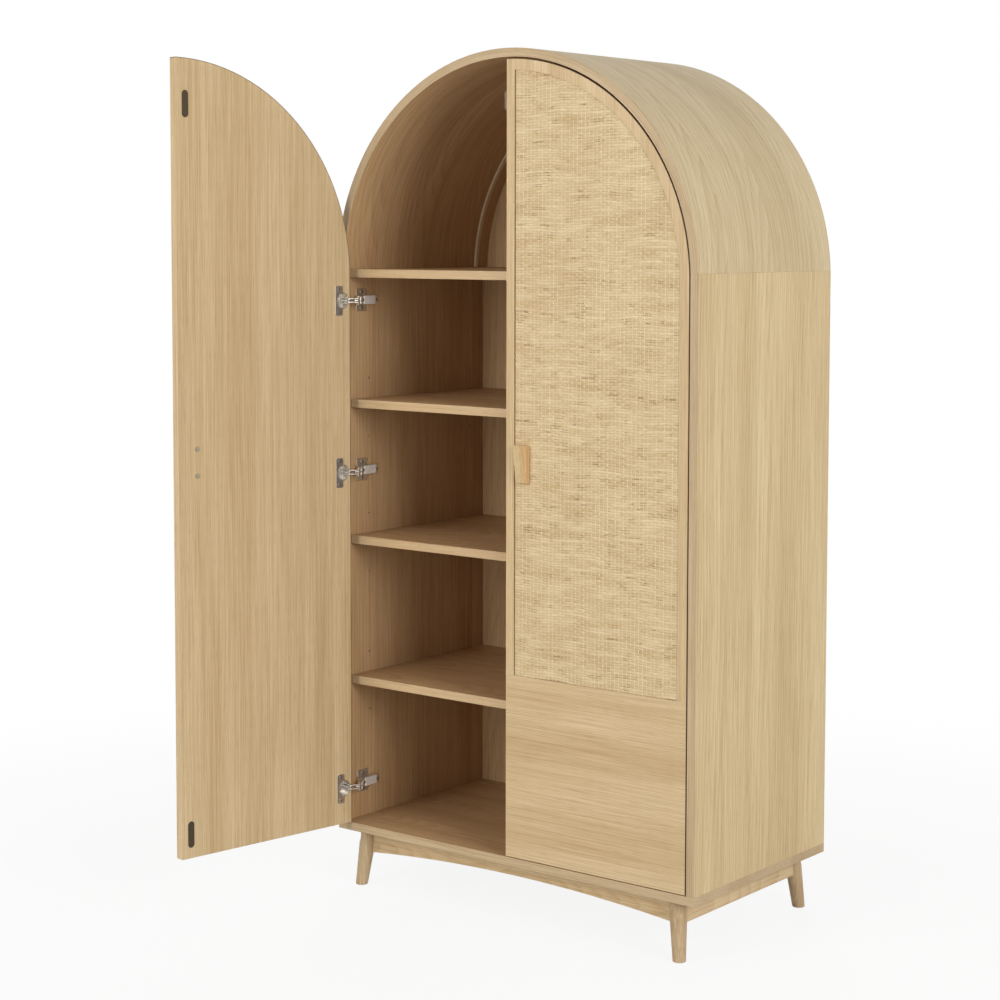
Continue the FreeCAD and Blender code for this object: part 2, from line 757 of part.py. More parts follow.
def make_plates_and_catch():
    """Strike plates let into the left door, and the catch on the right door."""
    floor = door_thickness - s.plate_thickness
    radius = s.small_screw_head_radius + s.plate_play
    holes = plate_bars("plate_eye", radius, (floor - s.overrun, door_thickness + s.overrun))
    plates = [long_round(f"{name}_plate", s.plate_width, s.plate_length, z, (floor, door_thickness))
              for name, z in plate_heights.items()]
    pierced = [cut("upper_plate_pierced", plates[0], *holes[:2]),
               cut("lower_plate_pierced", plates[1], *holes[2:])]
    shank_end = door_thickness - s.small_screw_length
    shank_radius = s.small_screw_radius - s.pin_play
    screws = small_screws("plate_screw", plate_bars("plate_shank", shank_radius, (shank_end, floor)),
                          plate_bars("plate_head", s.small_screw_head_radius,
                                     (floor, door_thickness)))
    node("left_strike_plates",
         mirrored_left("strike_plates", group("strike_plates_closed", *pierced)), open_door)
    node("left_strike_screws",
         mirrored_left("strike_screws", group("strike_screws_closed", *screws)), open_door)
    outer = door_thickness + s.catch_thickness
    block = box("catch_block", (-s.catch_reach, s.catch_grip), (door_thickness, outer),
                (catch_height - s.catch_length / 2, catch_height + s.catch_length / 2))
    doc.recompute()
    rounded = doc.addObject("Part::Fillet", "catch_rounded")
    rounded.Base = block
    upright = [number for number, line in enumerate(block.Shape.Edges, 1)
               if line.BoundBox.XLength + line.BoundBox.ZLength < s.catch_rounding.value]
    rounded.Edges = [(number, s.catch_rounding.value, s.catch_rounding.value) for number in upright]
    relief = box("catch_relief", (-s.catch_reach - s.overrun, as_size(0)),
                 (door_thickness - s.overrun, door_thickness + s.catch_play),
                 (catch_height - s.catch_length / 2 - s.overrun,
                  catch_height + s.catch_length / 2 + s.overrun))
    eyes = catch_bars("catch_eye", s.small_screw_radius,
                      (door_thickness - s.overrun, outer + s.overrun))
    node("right_door_catch", cut("door_catch", rounded, relief, *eyes))
    shanks = catch_bars("catch_shank", shank_radius, (shank_end, outer))
    heads = catch_bars("catch_head", s.small_screw_head_radius,
                       (outer, outer + s.small_screw_head_height))
    node("right_catch_screws", group("catch_screws", *small_screws("catch_screw", shanks, heads)))


# Cup hinges, made about level zero on the right and raised to their three heights
def plan(name):
    """A pivot or bend of the hinge in plan, from its inset and its depth."""
    return inner - getattr(s, f"{name}_inset"), getattr(s, f"{name}_depth")


def strip(name, start, end, half_width, z):
    """A flat bar between two points of the plan, with square ends."""
    along = vector(end[0], end[1], 0) - vector(start[0], start[1], 0)
    turn = FreeCAD.Rotation(FreeCAD.Vector(1, 0, 0), along)
    bar = doc.addObject("Part::Box", name)
    run = ((end[0] - start[0]) * (end[0] - start[0])
           + (end[1] - start[1]) * (end[1] - start[1]))
    bind(bar, Length=Size(f"sqrt({run.text})", math.sqrt(run.value)), Width=half_width * 2,
         Height=z[1] - z[0])
    corner = vector(start[0], start[1], z[0]) - turn.multVec(vector(0, half_width, 0))
    bar.Placement = FreeCAD.Placement(corner, turn)
    return bar


def bent_bar(name, points, half_width, z):
    """A flat bar through the points, rounded at each of them."""
    parts = [strip(f"{name}_run{number}", start, end, half_width, z)
             for number, (start, end) in enumerate(zip(points, points[1:]), 1)]
    parts += [cylinder(f"{name}_bend{number}", "Z", half_width, x, y, z)
              for number, (x, y) in enumerate(points, 1)]
    return fuse(name, *parts)


def both_levels(low, thickness):
    """The two levels, above and below zero, of a pair of plates."""
    return {"upper": (low, low + thickness), "lower": (-low - thickness, -low)}


def at_hinges(name, source):
    """The piece at each of the three hinge heights."""
    raised = []
    for place, height in hinge_heights.items():
        copy = group(f"{name}_{place}", source)
        bind(copy, Placement__Base__z=height)
        raised.append(copy)
    return group(name, *raised)


def link_plate(name, points, half_width, eyes, z):
    """One plate of a link: a bent bar with an eye at each end, drilled for its pins."""
    bar = bent_bar(f"{name}_bar", points, half_width, z)
    ends = (points[0], points[-1])
    rounds = [cylinder(f"{name}_eye{number}", "Z", eye, x, y, z)
              for number, ((x, y), (eye, hole)) in enumerate(zip(ends, eyes), 1)]
    holes = [cylinder(f"{name}_hole{number}", "Z", hole, x, y, (z[0] - s.overrun, z[1] + s.overrun))
             for number, ((x, y), (eye, hole)) in enumerate(zip(ends, eyes), 1)]
    return cut(name, fuse(f"{name}_solid", bar, *rounds), *holes)


def make_links():
    """Both links of each hinge. They turn on the cup's pins, and their arm ends run free."""
    fit = s.hinge_pin_radius + s.hinge_pin_play
    cup_eye = (s.link_eye_radius, fit)
    arm_eye = (s.arm_eye_of_link_radius, fit)
    outer_points = (plan("cup_outer_pivot"), plan("outer_link_bend"), plan("arm_outer_pivot"))
    inner_points = (plan("cup_inner_pivot"), plan("inner_link_first_bend"),
                    plan("inner_link_second_bend"), plan("arm_inner_pivot"))
    outer = [link_plate(f"outer_link_{side}", outer_points, s.outer_link_half_width,
                        (cup_eye, arm_eye), z)
             for side, z in both_levels(s.outer_link_offset, s.outer_link_thickness).items()]
    inner_plates = [link_plate(f"inner_link_{side}", inner_points, s.inner_link_half_width,
                               (cup_eye, arm_eye), z)
                    for side, z in both_levels(s.inner_link_offset, s.inner_link_thickness).items()]
    outer_set = at_hinges("outer_links", group("outer_pair", *outer))
    inner_set = at_hinges("inner_links", group("inner_pair", *inner_plates))
    node("right_outer_links", outer_set)
    node("right_inner_links", inner_set)
    node("left_outer_links", mirrored_left("outer_links_mirrored", outer_set), open_outer_link)
    node("left_inner_links", mirrored_left("inner_links_mirrored", inner_set), open_inner_link)


def make_cups():
    floor = door_thickness - s.cup_depth + s.cup_play
    face = (door_thickness, door_thickness + s.flange_thickness)
    x = edge - s.cup_setback
    zero = as_size(0)
    shell = cylinder("cup_shell", "Y", s.cup_radius, x, (floor, door_thickness), zero)
    flange_block = box("flange_block",
                       (edge - s.flange_setback - s.flange_width, edge - s.flange_setback), face,
                       (-s.flange_length / 2, s.flange_length / 2))
    doc.recompute()
    flange = doc.addObject("Part::Fillet", "flange")
    flange.Base = flange_block
    corners = [number for number, line in enumerate(flange_block.Shape.Edges, 1)
               if line.BoundBox.XLength + line.BoundBox.ZLength < s.flange_thickness.value]
    flange.Edges = [(number, s.flange_rounding.value, s.flange_rounding.value)
                    for number in corners]
    cavity = cylinder("cup_cavity", "Y", s.cup_radius - s.cup_wall, x,
                      (floor + s.cup_wall, face[1] + s.overrun), zero)
    hollow = cut("cup_hollow", fuse("cup_solid", shell, flange), cavity)
    outer_x, outer_y = plan("cup_outer_pivot")
    inner_x, inner_y = plan("cup_inner_pivot")
    width = s.outer_ear_half_width
    ears = []
    for side, z in both_levels(s.outer_ear_offset, s.outer_ear_thickness).items():
        ears.append(box(f"outer_ear_{side}", (outer_x - width, outer_x + width),
                        (floor, outer_y), z))
        ears.append(cylinder(f"outer_ear_{side}_round", "Z", width, outer_x, outer_y, z))
    width = s.inner_ear_half_width
    z = (-s.inner_ear_half_height, s.inner_ear_half_height)
    ears.append(box("inner_ear", (inner_x - width, inner_x + width), (floor, inner_y), z))
    ears.append(cylinder("inner_ear_round", "Z", width, inner_x, inner_y, z))
    reach = s.outer_ear_offset + s.outer_ear_thickness
    fit = s.hinge_pin_radius + s.hinge_pin_play
    holes = [cylinder("cup_outer_hole", "Z", fit, outer_x, outer_y,
                      (-reach - s.overrun, reach + s.overrun)),
             cylinder("cup_inner_hole", "Z", fit, inner_x, inner_y,
                      (z[0] - s.overrun, z[1] + s.overrun))]
    for end, height in (("low", -s.flange_screw_pitch / 2), ("high", s.flange_screw_pitch / 2)):
        holes.append(cylinder(f"flange_hole_{end}", "Y", s.small_screw_radius,
                              edge - s.flange_screw_setback,
                              (door_thickness - s.overrun, face[1] + s.overrun), height))
    solid = fuse("cup_with_ears", hollow, *ears)
    two_sided("hinge_cups", at_hinges("hinge_cups", cut("cup", solid, *holes)))
    pins = [cylinder("cup_inner_pin", "Z", s.hinge_pin_radius, inner_x, inner_y,
                     (-s.inner_link_offset - s.inner_link_thickness,
                      s.inner_link_offset + s.inner_link_thickness))]
    for side, levels in both_levels(s.outer_link_offset, reach - s.outer_link_offset).items():
        pins.append(cylinder(f"cup_outer_pin_{side}", "Z", s.hinge_pin_radius,
                             outer_x, outer_y, levels))
    two_sided("cup_pins", at_hinges("cup_pins", group("cup_pin_set", *pins)))
    shank_radius = s.small_screw_radius - s.pin_play
    shanks = flange_bars("flange_shank", shank_radius,
                         (door_thickness - s.small_screw_length, face[1]))
    heads = flange_bars("flange_head", s.small_screw_head_radius,
                        (face[1], face[1] + s.small_screw_head_height))
    two_sided("cup_screws", group("cup_screws", *small_screws("cup_screw", shanks, heads)))


def mount_screw_bars(name, radius, x=None):
    """Bars at the two screws of each mounting plate, into the side panel."""
    if x is None:
        x = (inner - s.overrun, inner + s.mount_screw_length - s.plate_wing_thickness)
    bars = []
    for place, height in hinge_heights.items():
        for end, z in (("low", height - s.mount_screw_pitch / 2),
                       ("high", height + s.mount_screw_pitch / 2)):
            bars.append(cylinder(f"{name}_{place}_{end}", "X", radius, x, s.mount_screw_row, z))
    return bars


def make_arms():
    z = (-s.arm_half_height, s.arm_half_height)
    zero = as_size(0)
    points = (plan("arm_shoulder"), plan("arm_crank"), plan("arm_heel"))
    crank = bent_bar("arm_crank", points, s.arm_half_width, z)
    body = box("arm_body", (inner - s.arm_body_top, inner - s.arm_body_bottom),
               (s.arm_body_front, s.arm_body_end), z)
    channel_z = s.arm_half_height - s.arm_cheek_thickness
    channel = box("arm_channel", (inner - s.arm_body_top + s.arm_body_thickness, inner),
                  (s.plate_rail_front - s.adjuster_play, s.arm_body_end + s.overrun),
                  (-channel_z, channel_z))
    eye_points = (plan("arm_outer_pivot"), points[0])
    cheeks = [bent_bar(f"arm_cheek_{side}", eye_points, s.arm_eye_radius, level)
              for side, level in both_levels(channel_z, s.arm_cheek_thickness).items()]
    web_z = (-s.arm_web_half_height, s.arm_web_half_height)
    web = bent_bar("arm_web", (plan("arm_inner_pivot"),) + eye_points, s.arm_eye_radius, web_z)
    fit = s.hinge_pin_radius + s.hinge_pin_play
    outer_x, outer_y = plan("arm_outer_pivot")
    inner_x, inner_y = plan("arm_inner_pivot")
    long_hole = (z[0] - s.overrun, z[1] + s.overrun)
    holes = [cylinder("arm_outer_hole", "Z", fit, outer_x, outer_y, long_hole),
             cylinder("arm_inner_hole", "Z", fit, inner_x, inner_y, long_hole)]
    top = inner - s.arm_body_top
    shank_x = (top, inner - s.plate_rail_top - s.adjuster_play)
    screws = []
    for name, y in (("side", s.side_adjuster_row),
                    ("depth", s.depth_adjuster_row)):
        holes.append(cylinder(f"{name}_adjuster_hole", "X", s.adjuster_radius + s.adjuster_play,
                              (top - s.overrun, shank_x[1]), y, zero))
        screws.append(fuse(f"{name}_adjuster",
                           cylinder(f"{name}_adjuster_shank", "X", s.adjuster_radius,
                                    shank_x, y, zero),
                           cylinder(f"{name}_adjuster_head", "X", s.adjuster_head_radius,
                                    (top - s.adjuster_head_height, top), y, zero)))
    solid = fuse("arm_solid", crank, cut("arm_shell", body, channel), web, *cheeks)
    cover = box("arm_cover", (top - s.cover_thickness, top), (s.cover_front, s.cover_end), z)
    pin_start = s.outer_link_offset + s.outer_link_thickness + s.open_pivot_play
    short_pin = s.inner_link_offset - s.open_pivot_play
    stubs = [cylinder(f"arm_outer_pin_{side}", "Z", s.hinge_pin_radius, outer_x, outer_y, level)
             for side, level in both_levels(pin_start, s.arm_half_height - pin_start).items()]
    pins = group("arm_pin_set", *stubs,
                 cylinder("arm_inner_pin", "Z", s.hinge_pin_radius, inner_x, inner_y,
                          (-short_pin, short_pin)))
    wing_x = (inner - s.plate_wing_thickness, inner)
    wing = box("plate_wing", wing_x, (s.plate_wing_front, s.plate_wing_end),
               (-s.plate_wing_half_height, s.plate_wing_half_height))
    rail = box("plate_rail", (inner - s.plate_rail_top, inner),
               (s.plate_rail_front, s.plate_rail_end),
               (-s.plate_rail_half_height, s.plate_rail_half_height))
    bores = [cylinder(f"wing_hole_{end}", "X", s.mount_screw_radius,
                      (wing_x[0] - s.overrun, inner + s.overrun), s.mount_screw_row, height)
             for end, height in (("low", -s.mount_screw_pitch / 2), ("high", s.mount_screw_pitch / 2))]
    sets = {
        "hinge_arms": at_hinges("hinge_arms", cut("arm", solid, *holes)),
        "arm_covers": at_hinges("arm_covers", cover),
        "mounting_plates": at_hinges("mounting_plates",
                                     cut("mounting_plate", fuse("plate_solid", wing, rail), *bores)),
    }
    for name, piece in sets.items():
        node(f"right_{name}", piece)
        node(f"left_{name}", mirrored_left(f"left_{name}", piece))
    shanks = mount_screw_bars("mount_shank", s.mount_screw_radius - s.pin_play,
                              (wing_x[0], inner + s.mount_screw_length - s.plate_wing_thickness))
    heads = mount_screw_bars("mount_head", s.mount_screw_head_radius,
                             (wing_x[0] - s.mount_screw_head_height, wing_x[0]))
    shared = {
        "arm_pins": at_hinges("arm_pin_row", pins),
        "adjusting_screws": at_hinges("adjuster_row", group("adjuster_set", *screws)),
        "mounting_screws": group("mounting_screw_set",
                                 *small_screws("mounting_screw", shanks, heads)),
    }
    for name, piece in shared.items():
        node(name, group(f"{name}_both", *both_sides([piece])))


def turn_about(point, degrees):
    """A turn about an upright line, counter-clockwise from above."""
    turn = FreeCAD.Rotation(FreeCAD.Vector(0, 0, 1), degrees)
    return FreeCAD.Placement(point - turn.multVec(point), turn)


def left_point(name):
    """A pivot of the closed left door."""
    x, y = plan(name)
    return vector(-x, y, 0)


def reaching_link(cup_name, arm_name):
    """Resting place of an open hinge's link: on its cup pin, with its end at its arm pin."""
    cup = left_point(cup_name)
    arm = left_point(arm_name)
    pin = open_door.multVec(cup)
    turn = FreeCAD.Rotation(arm - cup, arm - pin)
    return FreeCAD.Placement(pin - turn.multVec(cup), turn)


open_door = turn_about(left_point("door_axis"), -s.open_angle.value)
open_outer_link = reaching_link("cup_outer_pivot", "arm_outer_pivot")
open_inner_link = reaching_link("cup_inner_pivot", "arm_inner_pivot")

make_side_panels()
make_base_and_top()
make_back()
make_shelves()
make_legs()
make_rails()
make_door_boards()
make_handle()
make_plates_and_catch()
make_cups()
make_links()
make_arms()
doc.recompute()

faults = [f"{item.Label}: {state}" for item in doc.Objects for state in item.State
          if state in ("Invalid", "Error")]
faults += [f"{item.Label}: no valid shape" for item in nodes
           if item.Shape.isNull() or not item.Shape.isValid() or not item.Shape.Solids]
if faults:
    raise RuntimeError("; ".join(faults))
if len({item.Label for item in nodes}) != len(nodes):
    raise RuntimeError("two pieces share a name")

os.makedirs("parts", exist_ok=True)
for item in nodes:
    item.Shape.exportStep(f"parts/{item.Label}.step")
print(len(nodes), "pieces written")
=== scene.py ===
"""Dresses the arched wardrobe: woven door fields, timber and metal finishes, lamps and camera.

Metres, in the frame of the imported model: +Z up, the closed doors' front at Y = 0, the floor at Z = 0.
"""
import json
import math

import bpy
import numpy as np
from mathutils import Matrix, Vector


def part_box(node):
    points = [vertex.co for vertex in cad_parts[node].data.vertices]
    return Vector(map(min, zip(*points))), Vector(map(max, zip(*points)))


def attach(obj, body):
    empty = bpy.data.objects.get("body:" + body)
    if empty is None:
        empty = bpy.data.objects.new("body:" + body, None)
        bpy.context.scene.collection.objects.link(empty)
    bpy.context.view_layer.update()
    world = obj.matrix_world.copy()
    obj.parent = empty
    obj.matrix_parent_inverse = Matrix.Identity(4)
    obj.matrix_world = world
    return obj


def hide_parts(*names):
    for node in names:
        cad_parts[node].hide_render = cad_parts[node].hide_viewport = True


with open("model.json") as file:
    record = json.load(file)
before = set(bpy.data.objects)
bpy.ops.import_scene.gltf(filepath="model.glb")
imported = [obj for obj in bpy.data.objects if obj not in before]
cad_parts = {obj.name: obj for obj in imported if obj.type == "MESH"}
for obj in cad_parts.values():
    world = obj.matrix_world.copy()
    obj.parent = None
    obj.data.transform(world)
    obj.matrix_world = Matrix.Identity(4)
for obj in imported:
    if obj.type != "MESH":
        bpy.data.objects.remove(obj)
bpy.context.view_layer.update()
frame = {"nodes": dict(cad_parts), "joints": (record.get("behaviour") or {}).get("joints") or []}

bl_info = {
    "name": "Arched rattan wardrobe",
    "version": (1, 0, 0),
    "blender": (4, 5, 0),
    "location": "3D View > Sidebar > Wardrobe",
    "description": "Woven door fields, oak and metal finishes and a stage for the arched wardrobe",
    "category": "Object",
}

SIDES = ("left", "right")
MILLIMETRE = 0.001

# Weave: seeds of the two kinds of strands, and how the upright ones lie
STRAND_SEEDS = {"left": 7, "right": 5}
WARP_SEEDS = {"left": 11, "right": 12}
STEPS_PER_WARP = 3
STRAND_SHARES = (0.0, 0.33, 0.67)
WARP_DRIFT = 0.35 * MILLIMETRE
WARP_LIFT = 0.15 * MILLIMETRE
WARP_CUP = 0.25 * MILLIMETRE

# Colours by face: two depths between which one face's colours blend into the next one's
FACE_NEAR, FACE_FAR = 0.2 * MILLIMETRE, 0.7 * MILLIMETRE
# Depths at which the doors' outer edges take the painted gap shade
RIM_NEAR, RIM_FAR = 1.1 * MILLIMETRE, 1.5 * MILLIMETRE
# Depths of the batten's painted lit strip
STRIP_NEAR, STRIP_FAR = 5 * MILLIMETRE, 6 * MILLIMETRE
# Where the handles' painted shade starts and ends
SHADE_START, SHADE_END = -3 * MILLIMETRE, 10 * MILLIMETRE

# Oak: how many lumps a metre of each noise holds, across the grain and along it
OAK_SCALES = {
    "wander": (4, 0.9),
    "bends": (1.5, 2.2),
    "fibres": (620, 7),
    "streaks": (290, 2.6),
    "cloud": (12, 0.7),
    "pores": (900, 26),
    "hairs": (400, 4),
}


def joint(name):
    """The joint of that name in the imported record."""
    return next(entry for entry in frame["joints"] if entry["name"] == name)


# Places that the frame gives: faces and centres of the closed wardrobe, and the swing of the left door
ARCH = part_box("arched_top")
ARCH_CENTRE = ARCH[1].z - ARCH[1].x
INNER_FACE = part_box("right_side_panel")[0].x
SHELF_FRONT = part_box("middle_shelf")[0].y
BASE_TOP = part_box("right_side_panel")[0].z
DOOR_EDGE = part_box("right_door_frame")[1].x
DOOR_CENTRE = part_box("right_door_frame")[1].z - DOOR_EDGE
HANDLE_MIDDLE = (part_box("right_handle")[0].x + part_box("right_handle")[1].x) / 2
BACK_MIDDLE = (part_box("back_panel")[0].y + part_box("back_panel")[1].y) / 2
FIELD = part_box("right_rattan_sheet")
LEFT_SWING_LINE = Vector(joint("left_door_swing")["pos_m"])
LEFT_OPENING = math.radians(joint("left_door_swing")["range_deg"][0])


def linear(red, green, blue):
    """A screen colour from 0 to 255 as the linear colour that shaders take."""
    shares = np.array((red, green, blue)) / 255
    curve = np.where(shares > 0.04045, ((shares + 0.055) / 1.055) ** 2.4, shares / 12.92)
    return tuple(float(c) for c in curve)


def length(label, text, value):
    """A size that a user would change, in metres."""
    return bpy.props.FloatProperty(name=label, description=text, default=value, unit="LENGTH", precision=4)


def share(label, text, value):
    """A plain number that a user would change."""
    return bpy.props.FloatProperty(name=label, description=text, default=value)


def colour(label, text, red, green, blue):
    """A colour that a user would change."""
    return bpy.props.FloatVectorProperty(name=label, description=text, subtype="COLOR", size=3,
                                         min=0, max=1, default=linear(red, green, blue))


class WeaveSizes(bpy.types.PropertyGroup):
    """Sizes of the woven rattan."""
    strand_pitch: length("Strand pitch", "Height of one row of horizontal strands", 5.5 * MILLIMETRE)
    warp_pitch: length("Warp pitch", "Distance between the upright strands", 9.6 * MILLIMETRE)
    warp_width: length("Warp width", "Width of an upright strand", 2.1 * MILLIMETRE)
    crown: length("Crown", "How far a horizontal strand's middle stands above its edges", 0.55 * MILLIMETRE)
    sway: length("Sway", "How far a horizontal strand passes over and under", 0.45 * MILLIMETRE)
    jitter: length("Jitter", "Unevenness of the rows", 1.5 * MILLIMETRE)
    drift: length("Drift", "How far whole bundles of rows rise and fall", 2.6 * MILLIMETRE)
    face: length("Face", "Mean depth of the weave behind the door's front", 1.5 * MILLIMETRE)


class OakLook(bpy.types.PropertyGroup):
    """Colours and grain of the oak."""
    pale: colour("Pale wood", "Early wood", 221, 198, 158)
    deep: colour("Deep wood", "Late wood and dark streaks", 180, 150, 106)
    side_pale: colour("Pale side", "Early wood of the side panels", 223, 203, 161)
    side_deep: colour("Deep side", "Late wood of the side panels", 183, 155, 109)
    # Painted shade: the inner faces take darker, warmer copies of the oak's colours for the shade inside the
    # case.
    shaded_inside_pale: colour("Pale inside", "Early wood of the inner faces", 206, 173, 131)
    shaded_inside_deep: colour("Deep inside", "Late wood of the inner faces", 168, 130, 89)
    # Painted light: the back panel's inner face takes paler, warmer copies of the oak's colours for light
    # deep inside the case.
    back_lit_pale: colour("Pale back", "Early wood of the back panel", 231, 198, 155)
    back_lit_deep: colour("Deep back", "Late wood of the back panel", 198, 160, 113)
    arch_pale: colour("Pale arch", "Early wood of the bent top", 218, 200, 163)
    arch_deep: colour("Deep arch", "Late wood of the bent top", 181, 159, 119)
    edge_pale: colour("Pale edge", "Early wood of the case's front edges and legs", 204, 182, 146)
    edge_deep: colour("Deep edge", "Late wood of the case's front edges and legs", 164, 137, 101)
    # Painted light: a near-white strip along the batten's outer side stands in for the light falling on it.
    lit_strip: colour("Raw strip", "Pale strip on the batten inside the arch", 250, 228, 192)
    # Painted shade: the doors' outer edges are coloured dark to stand in for the shade in the gap round them.
    gap_shade: colour("Rim", "Rims of the doors, seen in the gap round them", 92, 68, 44)
    # Painted light: the shelves' front edges take paler colours, standing in for light on them although they
    # sit back in shade.
    lit_lip_pale: colour("Pale lip", "Early wood of the shelves' front edges", 208, 184, 146)
    lit_lip_deep: colour("Deep lip", "Late wood of the shelves' front edges", 184, 154, 114)
    pore: colour("Pores", "Open pores", 150, 118, 76)
    # Painted light and shade: the handles' inner half takes paler colours for the lit front, and their outer
    # half darker ones for the shaded side.
    handle_lit_pale: colour("Pale handle", "Early wood of the handles", 214, 195, 151)
    handle_lit_deep: colour("Deep handle", "Late wood of the handles", 182, 150, 102)
    handle_shade_pale: colour("Pale handle side", "Early wood of the handles' outer half", 212, 180, 132)
    handle_shade_deep: colour("Deep handle side", "Late wood of the handles' outer half", 172, 130, 80)
    ring_pitch: length("Ring pitch", "Distance between two growth rings", 2.7 * MILLIMETRE)
    leaf_width: length("Leaf width", "Width of one leaf of veneer", 168 * MILLIMETRE)
    easing: length("Eased edge", "Radius at which the sharp edges are softened", 1.0 * MILLIMETRE)


class HardwareLook(bpy.types.PropertyGroup):
    """Colours of the rattan, the metals and the plastic."""
    straw: colour("Straw", "Pale rattan", 222, 202, 163)
    honey: colour("Honey", "Deeper rattan", 184, 155, 108)
    # Dark dashes that the rattan has, and also the painted shade along the strands' edges.
    bark_and_seam_shade: colour("Bark", "Dark dashes in the rattan", 116, 84, 46)
    warp: colour("Warp", "Upright strands", 230, 211, 172)
    nickel: colour("Nickel", "Hinge metal", 226, 220, 210)
    satin: colour("Satin nickel", "Covers of the hinge arms", 236, 232, 226)
    zinc: colour("Zinc", "Screw and pin metal", 178, 174, 164)
    bronze: colour("Dark steel", "Strike plates", 84, 74, 60)
    plastic: colour("Plastic", "Catch", 222, 212, 198)


class StageLook(bpy.types.PropertyGroup):
    """Lamps, floor and camera."""
    world: share("World", "Strength of the even light from all around", 0.42)
    right_lamp: share("Right lamp", "Power of the lamp on the right in watts", 304)
    front_lamp: share("Front lamp", "Power of the lamp at the front in watts", 132)
    rear_lamp: share("Rear lamp", "Power of the lamp behind in watts", 130)
    lens: share("Lens", "Focal length in millimetres", 79.407)
    shift: share("Shift", "Drop of the view as a share of its width", -0.11)
    camera_place: bpy.props.FloatVectorProperty(
        name="Camera place", description="Where the camera stands", size=3, subtype="TRANSLATION",
        unit="LENGTH", default=(2.7704, -3.5284, 1.428))
    camera_turn: bpy.props.FloatVectorProperty(
        name="Camera turn", description="Yaw, downward pitch and roll", size=3, subtype="EULER",
        unit="ROTATION", default=tuple(math.radians(a) for a in (38.2936, 4.0801, 0.0805)))


class Wire:
    """A socket of a finish. Arithmetic on it adds Math nodes."""

    def __init__(self, finish, socket):
        self.finish = finish
        self.socket = socket

    def calc(self, operation, *values):
        return self.finish.node("ShaderNodeMath", {"operation": operation}, dict(enumerate(values)))

    def __add__(self, other):
        return self.calc("ADD", self, other)

    def __radd__(self, other):
        return self.calc("ADD", other, self)

    def __sub__(self, other):
        return self.calc("SUBTRACT", self, other)

    def __rsub__(self, other):
        return self.calc("SUBTRACT", other, self)

    def __mul__(self, other):
        return self.calc("MULTIPLY", self, other)

    def __rmul__(self, other):
        return self.calc("MULTIPLY", other, self)

    def __truediv__(self, other):
        return self.calc("DIVIDE", self, other)

    def __pow__(self, power):
        return self.calc("POWER", self, power)

    def floor(self):
        return self.calc("FLOOR", self)

    def fract(self):
        return self.calc("FRACT", self)

    def root(self):
        return self.calc("SQRT", self)

    def size(self):
        return self.calc("ABSOLUTE", self)

    def highest(self, other):
        return self.calc("MAXIMUM", self, other)

    def angle(self, along):
        """The angle whose tangent is this wire over the other."""
        return self.calc("ARCTAN2", self, along)

    def rise(self, low, high):
        """0 up to low, 1 from high on, and a smooth S between. A high below low turns it round."""
        return self.finish.node("ShaderNodeMapRange", {"interpolation_type": "SMOOTHSTEP"},
                                {"Value": self, "From Min": low, "From Max": high})


class Finish:
    """A material under construction, with one method for all its nodes."""

    def __init__(self, name):
        self.material = bpy.data.materials.new(name)
        self.material.use_nodes = True
        self.tree = self.material.node_tree
        self.tree.nodes.clear()

    def node(self, kind, settings=None, inputs=None, output=0):
        """Adds a node, makes its settings, fills its sockets, and gives one of its outputs."""
        made = self.tree.nodes.new(kind)
        for name, value in (settings or {}).items():
            setattr(made, name, value)
        for name, value in (inputs or {}).items():
            if isinstance(value, Wire):
                self.tree.links.new(value.socket, made.inputs[name])
            else:
                made.inputs[name].default_value = value
        return Wire(self, made.outputs[output])

    def vector(self, x, y, z):
        return self.node("ShaderNodeCombineXYZ", None, {"X": x, "Y": y, "Z": z})

    def noise(self, x, y, z, detail=2.0, rough=0.5):
        """Soft noise about 0.5 whose lumps are one unit across."""
        return self.node("ShaderNodeTexNoise", None, {"Vector": self.vector(x, y, z), "Scale": 1.0,
                                                      "Detail": detail, "Roughness": rough})

    def chance(self, x, y):
        """A random number from 0 to 1 that belongs to a pair of whole numbers."""
        return self.node("ShaderNodeTexWhiteNoise", {"noise_dimensions": "2D"},
                         {"Vector": self.vector(x, y, 0.0)})

    def mix(self, share_of_second, first, second):
        """Colour between two, each a colour or a wire."""
        first, second = (c if isinstance(c, Wire) else (*c, 1.0) for c in (first, second))
        return self.node("ShaderNodeMix", {"data_type": "RGBA"}, {0: share_of_second, 6: first, 7: second},
                         output=2)

    def place(self, pivot=(0, 0, 0), turn=0.0):
        """Object coordinates, turned back about an upright line through the pivot, as three wires."""
        place = self.node("ShaderNodeTexCoord", None, None, output="Object")
        if turn:
            back = (Matrix.Translation(pivot) @ Matrix.Rotation(-turn, 4, "Z")
                    @ Matrix.Translation(-Vector(pivot)))
            place = self.node("ShaderNodeMapping", {"vector_type": "POINT"},
                              {"Vector": place, "Location": back.translation, "Rotation": back.to_euler()})
        parts = self.node("ShaderNodeSeparateXYZ", None, {"Vector": place})
        outputs = parts.socket.node.outputs
        return [Wire(self, outputs[name]) for name in "XYZ"]

    def shell(self, settings):
        """Ends the material in a shader with those sockets, and gives the material."""
        shader = self.node("ShaderNodeBsdfPrincipled", None, settings)
        self.node_out(shader)
        return self.material

    def node_out(self, shader):
        """Joins a shader to the material's output."""
        out = self.tree.nodes.new("ShaderNodeOutputMaterial")
        self.tree.links.new(shader.socket, out.inputs["Surface"])

    def relief(self, height, distance, strength=1.0, easing=0.0):
        """A normal from a height between 0 and 1, on edges that are eased by the given radius."""
        inputs = {"Height": height, "Distance": distance, "Strength": strength}
        if easing:
            inputs["Normal"] = self.node("ShaderNodeBevel", {"samples": 4}, {"Radius": easing})
        return self.node("ShaderNodeBump", None, inputs)


